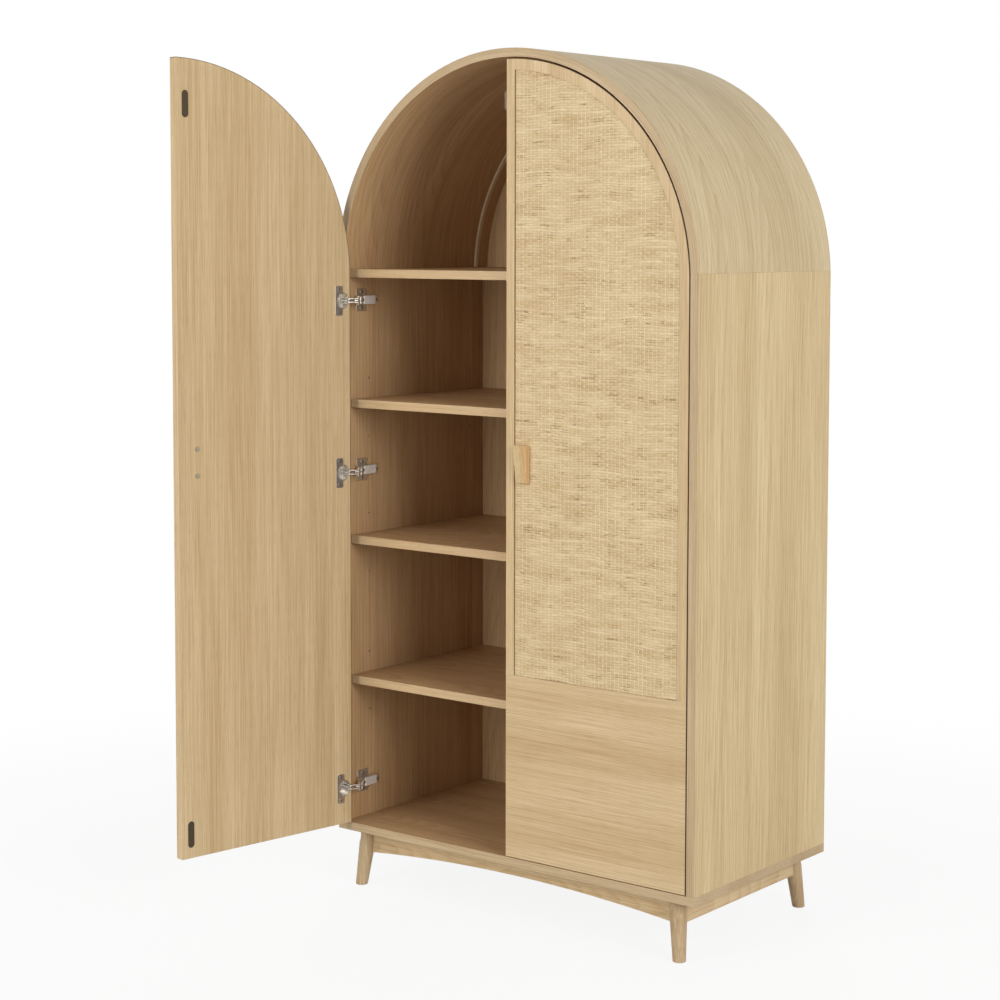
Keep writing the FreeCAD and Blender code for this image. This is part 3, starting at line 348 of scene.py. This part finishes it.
def grain(finish, across, along, through, look, figure):
    """Late wood, streaks, clouds, pores and fibres of sawn oak, each from 0 to 1, and a tone for each leaf.

    A leaf of veneer is a strip of its own log. A ring is a whole number of pitches in the distance from
    the log's heart. With no figure the heart lies well aside, which gives straight lines. With figure it
    lies behind the leaf and leans along the grain, which gives arches.
    """

    def lumps(kind, detail=1.0, rough=0.5, slide=None, bend=None):
        """The noise of that kind. Slide moves it across the grain, bend along it."""
        wide, long = OAK_SCALES[kind]
        side = across * wide if slide is None else across * wide + slide
        way = along * long if bend is None else along * long + bend
        return finish.noise(side, way, through * wide, detail, rough)

    wander = lumps("wander") - 0.5
    bends = lumps("bends") - 0.5
    leaf = (across / look.leaf_width + 0.37).floor()
    first = finish.chance(leaf, 3.0)
    second = finish.chance(leaf, 8.0)
    heart = (first - 0.5) * (0.5 * figure) + (1 - figure) * 1.1
    aside = across - (leaf + heart) * look.leaf_width + wander * 0.016
    depth = through + 0.03 + second * 0.05 + (along * (0.03 + second * 0.09) + bends * 0.07) * figure
    fibres = lumps("fibres", 2.0)
    ring = (aside * aside + depth * depth).root() / look.ring_pitch
    late = (ring + fibres * 0.3).fract() ** 2
    streaks = lumps("streaks", 2.0, 0.65, slide=leaf * 5, bend=wander)
    cloud = lumps("cloud", 2.0, slide=leaf * 9)
    pores = lumps("pores").rise(0.56, 0.70)
    hairs = lumps("hairs").rise(0.60, 0.74)
    return late, streaks, cloud, (pores * (0.4 + late * 0.6)).highest(hairs * 0.6), fibres, first


def reach_from(centre, x, z):
    """The distance from the middle line below an arch's centre, and from the centre itself above it."""
    above = (z - centre).highest(0.0)
    return (x * x + above * above).root()


def shell_faces(x, y, z, look):
    """The case's shell takes the inner colours, which are painted shade, on its inner face and the edge
    colours on its front edge.
    """
    edge = y.rise(FACE_FAR, FACE_NEAR)
    reach = reach_from(ARCH_CENTRE, x, z)
    inner = reach.rise(INNER_FACE + FACE_FAR, INNER_FACE + FACE_NEAR)
    return (inner, look.shaded_inside_pale, look.shaded_inside_deep), (edge, look.edge_pale, look.edge_deep)


def shelf_faces(x, y, z, look):
    """A shelf takes the inner colours, which are painted shade, but for its front edge."""
    behind = y.rise(SHELF_FRONT + FACE_NEAR, SHELF_FRONT + FACE_FAR)
    return (behind, look.shaded_inside_pale, look.shaded_inside_deep),


def base_faces(x, y, z, look):
    """The base takes the inner colours, which are painted shade, on its top face."""
    top = z.rise(BASE_TOP - FACE_FAR, BASE_TOP - FACE_NEAR)
    return (top, look.shaded_inside_pale, look.shaded_inside_deep),


def back_faces(x, y, z, look):
    """The back panel takes paler, warmer colours, which are painted light deep inside the case, on the side
    that faces the shelves.
    """
    front = y.rise(BACK_MIDDLE + MILLIMETRE, BACK_MIDDLE)
    return (front, look.back_lit_pale, look.back_lit_deep),


def batten_faces(x, y, z, look):
    """The batten takes the inner colours, which are painted shade, but for a pale strip along its outer side,
    which is painted light.
    """
    strip = reach_from(ARCH_CENTRE, x, z).rise(INNER_FACE - STRIP_NEAR, INNER_FACE - STRIP_FAR)
    return (strip, look.shaded_inside_pale, look.shaded_inside_deep),


def handle_faces(x, y, z, look):
    """Painted shade: a handle darkens towards its outer side, the side turned from the light. Its inner half
    keeps the paler colours as painted light.
    """
    outer = x.size().rise(HANDLE_MIDDLE + SHADE_START, HANDLE_MIDDLE + SHADE_END)
    return (outer, look.handle_shade_pale, look.handle_shade_deep),


def door_faces(x, y, z, look):
    """Painted shade: a door's outer edge, which faces the case across the gap, is dark for the shade in the
    gap. It takes in the flats of the round edge.
    """
    gap_shade = reach_from(DOOR_CENTRE, x, z).rise(DOOR_EDGE - RIM_FAR, DOOR_EDGE - RIM_NEAR)
    return (gap_shade, look.gap_shade, look.gap_shade),


def oak(name, axes, look, figure=0.0, colours=None, faces=None, pivot=(0, 0, 0), turn=0.0, arc=False):
    """Satin oak whose axes name the way across, along and through the grain, such as YZX.

    With arc, the grain follows the arch: along is the arc's length, and through is the radius. The faces
    function says which faces take other colours.
    """
    finish = Finish(name)
    x, y, z = finish.place(pivot, turn)
    if arc:
        height = z - ARCH_CENTRE
        across, along, through = y, height.angle(x) * ARCH[1].x, (x * x + height * height).root()
    else:
        places = {"X": x, "Y": y, "Z": z}
        across, along, through = (places[axis] for axis in axes)
    late, streaks, cloud, pores, fibres, leaf = grain(finish, across, along, through, look, figure)
    pale, deep = colours or (look.pale, look.deep)
    if faces:
        for face, pale_there, deep_there in faces(x, y, z, look):
            pale = finish.mix(face, pale, pale_there)
            deep = finish.mix(face, deep, deep_there)
    tone = (late * (0.22 + 0.14 * figure) + streaks.rise(0.36, 0.68) * 0.28 + cloud.rise(0.32, 0.68) * 0.30
            + fibres.rise(0.32, 0.7) * 0.30 + leaf * 0.16)
    body = finish.mix(tone, pale, deep)
    coloured = finish.mix(pores * 0.44, body, look.pore)
    height = 0.6 + fibres * 0.25 - pores * 0.6 - late * 0.1
    return finish.shell({
        "Base Color": coloured,
        "Roughness": 0.44 + fibres * 0.12 + pores * 0.25,
        "Normal": finish.relief(height, 0.12 * MILLIMETRE, 0.6, look.easing),
        "Specular IOR Level": 0.4,
    })


def woven_straw(name, look):
    """Rattan strands. The surface's own map counts warps across and rows upwards."""
    finish = Finish(name)
    place = finish.node("ShaderNodeUVMap", {"uv_map": "rows"})
    parts = finish.node("ShaderNodeSeparateXYZ", None, {"Vector": place}).socket.node.outputs
    warp, row = Wire(finish, parts["X"]), Wire(finish, parts["Y"])
    strand = row.floor()
    across = (row.fract() - 0.5).size() * 2
    tone = finish.noise(warp * 0.16, strand * 7.3, 0.0, 2.0)
    band = finish.noise(warp * 0.05, row * 0.16, 4.0, 2.0)
    fibre = finish.noise(warp * 0.7, row * 4.0, 9.0, 3.0, 0.65)
    dash = finish.noise(warp * 0.26, strand * 3.1, 20.0, 1.0).rise(0.60, 0.70)
    # Painted shade: the strands darken towards their edges, where the rows meet, standing in for the shade
    # between them. The bark dashes are the rattan's own.
    seam = across.rise(0.45, 0.95)
    depth = tone.rise(0.32, 0.68) * 0.42 + band.rise(0.4, 0.66) * 0.22 + fibre.rise(0.35, 0.68) * 0.40
    body = finish.mix(depth, look.straw, look.honey)
    dashed_and_shaded = finish.mix((dash * 0.55 + 0.24) * seam + dash * 0.10, body, look.bark_and_seam_shade)
    return finish.shell({
        "Base Color": dashed_and_shaded,
        "Roughness": 0.5 + fibre * 0.2,
        "Normal": finish.relief(fibre, 0.3 * MILLIMETRE, 0.8),
        "Specular IOR Level": 0.35,
    })


def warp_straw(name, look):
    """The thin upright strands, with fibres along them."""
    finish = Finish(name)
    x, y, z = finish.place()
    tone = finish.noise(x * 60, y * 60, z * 9, 2.0)
    fibre = finish.noise(x * 1400, y * 1400, z * 40, 2.0)
    body = finish.mix(tone.rise(0.35, 0.75) * 0.3 + fibre * 0.2, look.warp, look.honey)
    return finish.shell({
        "Base Color": body,
        "Roughness": 0.42 + fibre * 0.2,
        "Normal": finish.relief(fibre, 0.2 * MILLIMETRE, 0.6),
        "Specular IOR Level": 0.4,
    })


def plated(name, hue, rough, metal=1.0, easing=0.3 * MILLIMETRE):
    """Plated or dark steel, with brushing, small scratches and handled patches."""
    finish = Finish(name)
    x, y, z = finish.place()
    brush = finish.noise(x * 2500, y * 2500, z * 60, 2.0)
    patch = finish.noise(x * 90, y * 90, z * 90, 3.0)
    speck = finish.noise(x * 1100, y * 1100, z * 1100, 1.0).rise(0.68, 0.76)
    worn = finish.mix(patch.rise(0.35, 0.75) * 0.25 + speck * 0.3, hue, tuple(c * 0.55 for c in hue))
    return finish.shell({
        "Base Color": worn,
        "Metallic": metal,
        "Roughness": rough + brush * 0.12 + patch * 0.08,
        "Normal": finish.relief(brush, 0.02 * MILLIMETRE, 0.5, easing),
    })


def clear_plastic(name, hue):
    """Cloudy clear plastic with moulding ripples."""
    finish = Finish(name)
    x, y, z = finish.place()
    ripple = finish.noise(x * 300, y * 300, z * 120, 2.0)
    return finish.shell({
        "Base Color": finish.mix(ripple * 0.3, hue, tuple(c * 0.8 for c in hue)),
        "Roughness": 0.10 + ripple * 0.10,
        "Normal": finish.relief(ripple, 0.05 * MILLIMETRE, 0.4),
        "Alpha": 0.10 + ripple * 0.1,
        "Specular IOR Level": 0.25,
    })


def dress(material, *nodes):
    """Gives CAD nodes one material."""
    for name in nodes:
        slots = frame["nodes"][name].material_slots
        if not slots:
            frame["nodes"][name].data.materials.append(material)
        for slot in slots:
            slot.material = material


def hang(points, side):
    """Points of the closed right door. The left door mirrors them and swings them open."""
    if side == "right":
        return points
    turned = np.array(Matrix.Rotation(LEFT_OPENING, 3, "Z"))
    line = np.array(LEFT_SWING_LINE)
    return (points * (-1, 1, 1) - line) @ turned.T + line


def quilt(name, points, keep, rows, side, material, smooth=True):
    """A mesh from a grid of points: one face for each cell that is kept, and a map in the rows' own units."""
    lines, columns = points.shape[:2]
    index = np.arange(lines * columns).reshape(lines, columns)
    cells = np.stack([index[:-1, :-1], index[:-1, 1:], index[1:, 1:], index[1:, :-1]], -1)[keep]
    if side == "left":
        cells = cells[:, ::-1]
    used, cells = np.unique(cells, return_inverse=True)
    cells = cells.reshape(-1, 4)
    mesh = bpy.data.meshes.new(name)
    mesh.from_pydata(hang(points.reshape(-1, 3), side)[used].tolist(), [], cells.tolist())
    corners = rows.reshape(-1, 2)[used][cells.reshape(-1)]
    mesh.uv_layers.new(name="rows").data.foreach_set("uv", corners.astype(np.float32).ravel())
    mesh.polygons.foreach_set("use_smooth", np.full(len(cells), smooth))
    mesh.materials.append(material)
    mesh.update()
    piece = bpy.data.objects.new(name, mesh)
    bpy.context.scene.collection.objects.link(piece)
    return piece


def within_field(x, z):
    """Which points the field's arched outline holds, and the points drawn back to it along their radius."""
    radius = FIELD[1].x
    above = np.maximum(z - DOOR_CENTRE, 0)
    reach = np.maximum(np.hypot(x, above), 1e-6)
    pull = np.minimum(1, radius / reach)
    return reach <= radius, x * pull, np.where(above > 0, DOOR_CENTRE + above * pull, z)


def woven_strands(side, sizes, material):
    """The horizontal strands of one field, as one surface.

    Each row is a rounded ridge. It sways over and under the warps as a cosine with half a wave per warp,
    and neighbouring rows are half a wave apart. The rows' borders wander by a few slow sine waves, and
    whole bundles of rows drift by the product of two slower ones.
    """
    random = np.random.default_rng(STRAND_SEEDS[side])
    row_count = int(round((FIELD[1].z - FIELD[0].z) / sizes.strand_pitch))
    shares = np.append(np.add.outer(np.arange(row_count), STRAND_SHARES), row_count)
    columns = int(round((FIELD[1].x - FIELD[0].x) / sizes.warp_pitch * STEPS_PER_WARP))
    x, rows = np.meshgrid(np.linspace(FIELD[0].x, FIELD[1].x, columns + 1), shares)
    warps = (x - FIELD[0].x) / sizes.warp_pitch
    row = np.floor(np.minimum(rows, row_count - 0.5)).astype(int)
    phases = random.uniform(0, 2 * math.pi, (3, row_count + 1))
    lift = random.uniform(-0.5, 0.5, row_count + 1)
    border = np.round(rows).astype(int)
    wave = sum(np.sin(warps * rate + phases[k][border]) for k, rate in enumerate((0.13, 0.37, 0.9)))
    drift = np.sin(warps * 0.29 + rows * 0.07 + phases[0, 0]) * np.sin(warps * 0.11 - rows * 0.13)
    z = (FIELD[0].z + rows * sizes.strand_pitch + sizes.jitter * (lift[border] + wave * 0.22)
         + sizes.drift * drift)
    z = np.clip(z, FIELD[0].z, FIELD[1].z)
    ridge = np.sqrt(np.maximum(1 - ((rows - row - 0.5) * 2) ** 2, 0))
    thickness = 0.75 + 0.5 * random.uniform(0, 1, row_count + 1)[row]
    over = np.cos(math.pi * (warps + row))
    y = sizes.face - sizes.crown * thickness * ridge - sizes.sway * over * (0.35 + 0.65 * ridge)
    inside, x, z = within_field(x, z)
    keep = inside[:-1, :-1] | inside[1:, :-1] | inside[:-1, 1:] | inside[1:, 1:]
    return quilt(f"{side}_woven_strands", np.stack([x, y, z], -1), keep, np.stack([warps, rows], -1),
                 side, material)


def warp_strands(side, sizes, material):
    """The thin upright strands of one field: flat ribbons that rise where a horizontal strand dips."""
    random = np.random.default_rng(WARP_SEEDS[side])
    count = int((FIELD[1].x - FIELD[0].x) / sizes.warp_pitch)
    row_count = int(round((FIELD[1].z - FIELD[0].z) / sizes.strand_pitch))
    rows = np.arange(0, row_count + 0.25, 0.5)
    for_each = np.arange(1, count + 1)
    middle = FIELD[0].x + for_each * sizes.warp_pitch
    width = sizes.warp_width * random.uniform(0.6, 1.15, count)
    edge = np.array([-0.5, 0.0, 0.5])
    warp, row, side_share = np.meshgrid(for_each, rows, edge, indexing="ij")
    drift = WARP_DRIFT * np.sin(row * 0.05 + warp * 1.7)
    x = middle[warp - 1] + drift + side_share * width[warp - 1]
    z = np.clip(FIELD[0].z + row * sizes.strand_pitch, FIELD[0].z, FIELD[1].z)
    rise = -np.cos(math.pi * (warp + row - 0.5))
    y = (sizes.face - sizes.crown * 0.9 - (sizes.sway + WARP_LIFT) * rise
         + WARP_CUP * (2 * side_share) ** 2)
    inside, x, z = within_field(x, z)
    lines = np.stack([x, y, z], -1).transpose(1, 0, 2, 3).reshape(len(rows), -1, 3)
    held = inside.transpose(1, 0, 2).reshape(len(rows), -1)
    keep = held[:-1, :-1] & held[1:, 1:] & held[1:, :-1] & held[:-1, 1:]
    keep[:, 2::3] = False
    counts = np.stack([warp, row], -1).transpose(1, 0, 2, 3).reshape(len(rows), -1, 2)
    return quilt(f"{side}_warp_strands", lines, keep, counts, side, material)


class WARDROBE_OT_weave(bpy.types.Operator):
    """Weave the rattan field of each door"""
    bl_idname = "wardrobe.weave"
    bl_label = "Woven fields"

    def execute(self, context):
        sizes, look = context.scene.wardrobe_weave, context.scene.wardrobe_hardware
        strands = woven_straw("rattan_strands", look)
        warps = warp_straw("rattan_warps", look)
        for side in SIDES:
            field = woven_strands(side, sizes, strands)
            threads = warp_strands(side, sizes, warps)
            for piece in (field, threads):
                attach(piece, f"{side}_door")
            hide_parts(f"{side}_rattan_sheet")
        return {"FINISHED"}


class WARDROBE_OT_timber(bpy.types.Operator):
    """Finish every wooden node in oak or beech"""
    bl_idname = "wardrobe.timber"
    bl_label = "Timber"

    def execute(self, context):
        look = context.scene.wardrobe_oak
        edge = (look.edge_pale, look.edge_deep)
        # The shelves' front edges take paler colours as painted light.
        lip = (look.lit_lip_pale, look.lit_lip_deep)
        dress(oak("oak_sides", "YZX", look, 0.1, (look.side_pale, look.side_deep), shell_faces),
              "left_side_panel", "right_side_panel")
        dress(oak("oak_back", "XZY", look, 0.2, faces=back_faces), "back_panel")
        dress(oak("oak_arch", "", look, 0.3, (look.arch_pale, look.arch_deep), shell_faces, arc=True),
              "arched_top")
        dress(oak("oak_batten", "", look, 0.0, (look.lit_strip, look.lit_strip), batten_faces, arc=True),
              "rear_arch_batten")
        dress(oak("oak_shelves", "YXZ", look, 0.6, lip, faces=shelf_faces), "fixed_shelf", "upper_shelf",
              "middle_shelf", "lower_shelf")
        dress(oak("oak_base", "YXZ", look, 0.5, edge, faces=base_faces), "base_panel")
        dress(oak("oak_rails", "ZXY", look, 0.5), "front_rail", "rear_rail")
        dress(oak("oak_side_rails", "ZYX", look, 0.5), "left_rail", "right_rail")
        dress(oak("oak_legs", "XZY", look, 0.7, edge), "front_left_leg", "front_right_leg", "rear_left_leg",
              "rear_right_leg")
        for side in SIDES:
            swing = {"pivot": LEFT_SWING_LINE, "turn": LEFT_OPENING if side == "left" else 0.0}
            dress(oak(f"oak_{side}_door", "XZY", look, 0.0, faces=door_faces, **swing), f"{side}_door_frame",
                  f"{side}_door_backing")
            dress(oak(f"oak_{side}_lower_panel", "ZXY", look, 0.28, faces=door_faces, **swing),
                  f"{side}_door_lower_panel")
            dress(oak(f"oak_{side}_handle", "XZY", look, 0.0, (look.handle_lit_pale, look.handle_lit_deep),
                      handle_faces, **swing), f"{side}_handle")
        dress(oak("beech_dowels", "XZY", look), "case_dowels", "rail_dowels")
        return {"FINISHED"}


class WARDROBE_OT_hardware(bpy.types.Operator):
    """Finish hinges, screws, plates and the catch"""
    bl_idname = "wardrobe.hardware"
    bl_label = "Hardware"

    def execute(self, context):
        look = context.scene.wardrobe_hardware
        nickel = plated("nickel_plate", look.nickel, rough=0.2, metal=0.9, easing=1.2 * MILLIMETRE)
        satin = plated("satin_nickel", look.satin, rough=0.3, metal=0.45, easing=1.0 * MILLIMETRE)
        zinc = plated("zinc_plate", look.zinc, rough=0.26)
        dark = plated("dark_steel", look.bronze, rough=0.42)
        for node in frame["nodes"].values():
            if node.name.endswith(("hinge_cups", "hinge_arms", "mounting_plates", "links")):
                dress(nickel, node.name)
            elif node.name.endswith("arm_covers"):
                dress(satin, node.name)
            elif node.name.endswith(("screws", "pins", "bolts")):
                dress(zinc, node.name)
        dress(dark, "left_strike_plates", "left_strike_screws")
        dress(clear_plastic("clear_plastic", look.plastic), "right_door_catch")
        return {"FINISHED"}


def lamp(name, place, aim, width, watts):
    """A square soft lamp at a place, turned to its aim."""
    light = bpy.data.lights.new(name, "AREA")
    light.shape = "SQUARE"
    light.size = width
    light.energy = watts
    made = bpy.data.objects.new(name, light)
    way = (Vector(aim) - Vector(place)).to_track_quat("-Z", "Y")
    made.matrix_world = Matrix.Translation(place) @ way.to_matrix().to_4x4()
    bpy.context.scene.collection.objects.link(made)


# Each lamp's name, place, aim and width. Its power is the stage's value of the same name.
LAMPS = (
    ("right_lamp", (7.0, -1.9, 3.0), (0, 0.1, 1.2), 3.6),
    ("front_lamp", (-1.1, -4.9, 2.4), (0, 0.2, 1.2), 2.6),
    ("rear_lamp", (-3.2, 5.2, 1.3), (0, 0.2, 0.9), 2.4),
)
FLOOR_REACH = 30.0
FLOOR_SHARE = 0.88  # how white the floor under the wardrobe looks, the rest keeps the shadow
FLOOR_FADE = (0.9, 2.6)  # distances between which it turns all white


class WARDROBE_OT_stage(bpy.types.Operator):
    """Set up floor, background, lamps and camera"""
    bl_idname = "wardrobe.stage"
    bl_label = "Stage"

    def execute(self, context):
        look = context.scene.wardrobe_stage
        self.floor()
        self.background(look)
        for name, place, aim, width in LAMPS:
            lamp(name, place, aim, width, getattr(look, name))
        self.camera(look)
        context.scene.view_settings.view_transform = "Standard"
        return {"FINISHED"}

    def floor(self):
        """A wide pale floor. Camera, glossy and transmitted rays see it lightened, and white farther out."""
        corners = [(-1, -1), (1, -1), (1, 1), (-1, 1)]
        mesh = bpy.data.meshes.new("floor")
        mesh.from_pydata([(x * FLOOR_REACH, y * FLOOR_REACH, 0) for x, y in corners], [], [(0, 1, 2, 3)])
        finish = Finish("floor")
        x, y, z = finish.place()
        speckle = finish.noise(x * 40, y * 40, z, 3.0)
        matt = finish.node("ShaderNodeBsdfPrincipled", None,
                           {"Base Color": finish.mix(speckle * 0.3, (0.74, 0.74, 0.74), (0.68, 0.68, 0.68)),
                            "Roughness": 0.8})
        white = finish.node("ShaderNodeEmission", None, {"Color": (1.0, 1.0, 1.0, 1.0), "Strength": 1.0})
        rays = finish.node("ShaderNodeLightPath").socket.node.outputs
        seen = sum((Wire(finish, rays[f"Is {kind} Ray"]) for kind in ("Glossy", "Transmission")),
                   Wire(finish, rays["Is Camera Ray"]))
        far = (x * x + y * y).root().rise(*FLOOR_FADE)
        blend = seen * (FLOOR_SHARE + far * (1 - FLOOR_SHARE))
        finish.node_out(finish.node("ShaderNodeMixShader", None, {0: blend, 1: matt, 2: white}))
        mesh.materials.append(finish.material)
        plane = bpy.data.objects.new("floor", mesh)
        bpy.context.scene.collection.objects.link(plane)

    def background(self, look):
        """An even world that lights softly. Camera, glossy and transmitted rays see it white."""
        world = bpy.data.worlds.new("studio")
        world.use_nodes = True
        bpy.context.scene.world = world
        tree = world.node_tree
        light_path = tree.nodes.new("ShaderNodeLightPath")
        seen = light_path.outputs["Is Camera Ray"]
        for kind in ("Glossy", "Transmission"):
            either = tree.nodes.new("ShaderNodeMath")
            either.operation = "MAXIMUM"
            tree.links.new(seen, either.inputs[0])
            tree.links.new(light_path.outputs[f"Is {kind} Ray"], either.inputs[1])
            seen = either.outputs[0]
        strength = tree.nodes.new("ShaderNodeMapRange")
        strength.inputs["To Min"].default_value = look.world
        strength.inputs["To Max"].default_value = 1.0
        tree.links.new(seen, strength.inputs["Value"])
        sky = tree.nodes["Background"]
        sky.inputs["Color"].default_value = (1, 1, 1, 1)
        tree.links.new(strength.outputs[0], sky.inputs["Strength"])

    def camera(self, look):
        """The photograph's view: an upright turn, a small downward pitch, a roll, and a drop of the frame."""
        data = bpy.data.cameras.new("camera")
        data.lens = look.lens
        data.sensor_width = 36
        data.shift_y = look.shift
        data.clip_end = 100
        yaw, pitch, roll = look.camera_turn
        turn = (Matrix.Rotation(yaw, 4, "Z") @ Matrix.Rotation(math.pi / 2 - pitch, 4, "X")
                @ Matrix.Rotation(roll, 4, "Z"))
        view = bpy.data.objects.new("camera", data)
        view.matrix_world = Matrix.Translation(look.camera_place) @ turn
        bpy.context.scene.collection.objects.link(view)
        bpy.context.scene.camera = view


class WARDROBE_PT_sidebar(bpy.types.Panel):
    """Lists the wardrobe's sizes, colours and steps"""
    bl_label = "Arched rattan wardrobe"
    bl_idname = "WARDROBE_PT_sidebar"
    bl_space_type = "VIEW_3D"
    bl_region_type = "UI"
    bl_category = "Wardrobe"

    def draw(self, context):
        for name in GROUPS:
            group = getattr(context.scene, name)
            box = self.layout.box()
            for entry in group.bl_rna.properties:
                if entry.identifier not in ("rna_type", "name"):
                    box.prop(group, entry.identifier)
        for step in STEPS:
            self.layout.operator(step.bl_idname)


GROUPS = {
    "wardrobe_weave": WeaveSizes,
    "wardrobe_oak": OakLook,
    "wardrobe_hardware": HardwareLook,
    "wardrobe_stage": StageLook,
}
STEPS = (WARDROBE_OT_weave, WARDROBE_OT_timber, WARDROBE_OT_hardware, WARDROBE_OT_stage)
CLASSES = (*GROUPS.values(), *STEPS, WARDROBE_PT_sidebar)


def register():
    for entry in CLASSES:
        bpy.utils.register_class(entry)
    for name, group in GROUPS.items():
        setattr(bpy.types.Scene, name, bpy.props.PointerProperty(type=group))


def unregister():
    for name in GROUPS:
        delattr(bpy.types.Scene, name)
    for entry in reversed(CLASSES):
        bpy.utils.unregister_class(entry)


def main():
    """Registers the add-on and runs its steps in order."""
    register()
    for step in STEPS:
        family, action = step.bl_idname.split(".")
        getattr(getattr(bpy.ops, family), action)()


if __name__ == "__main__":
    main()
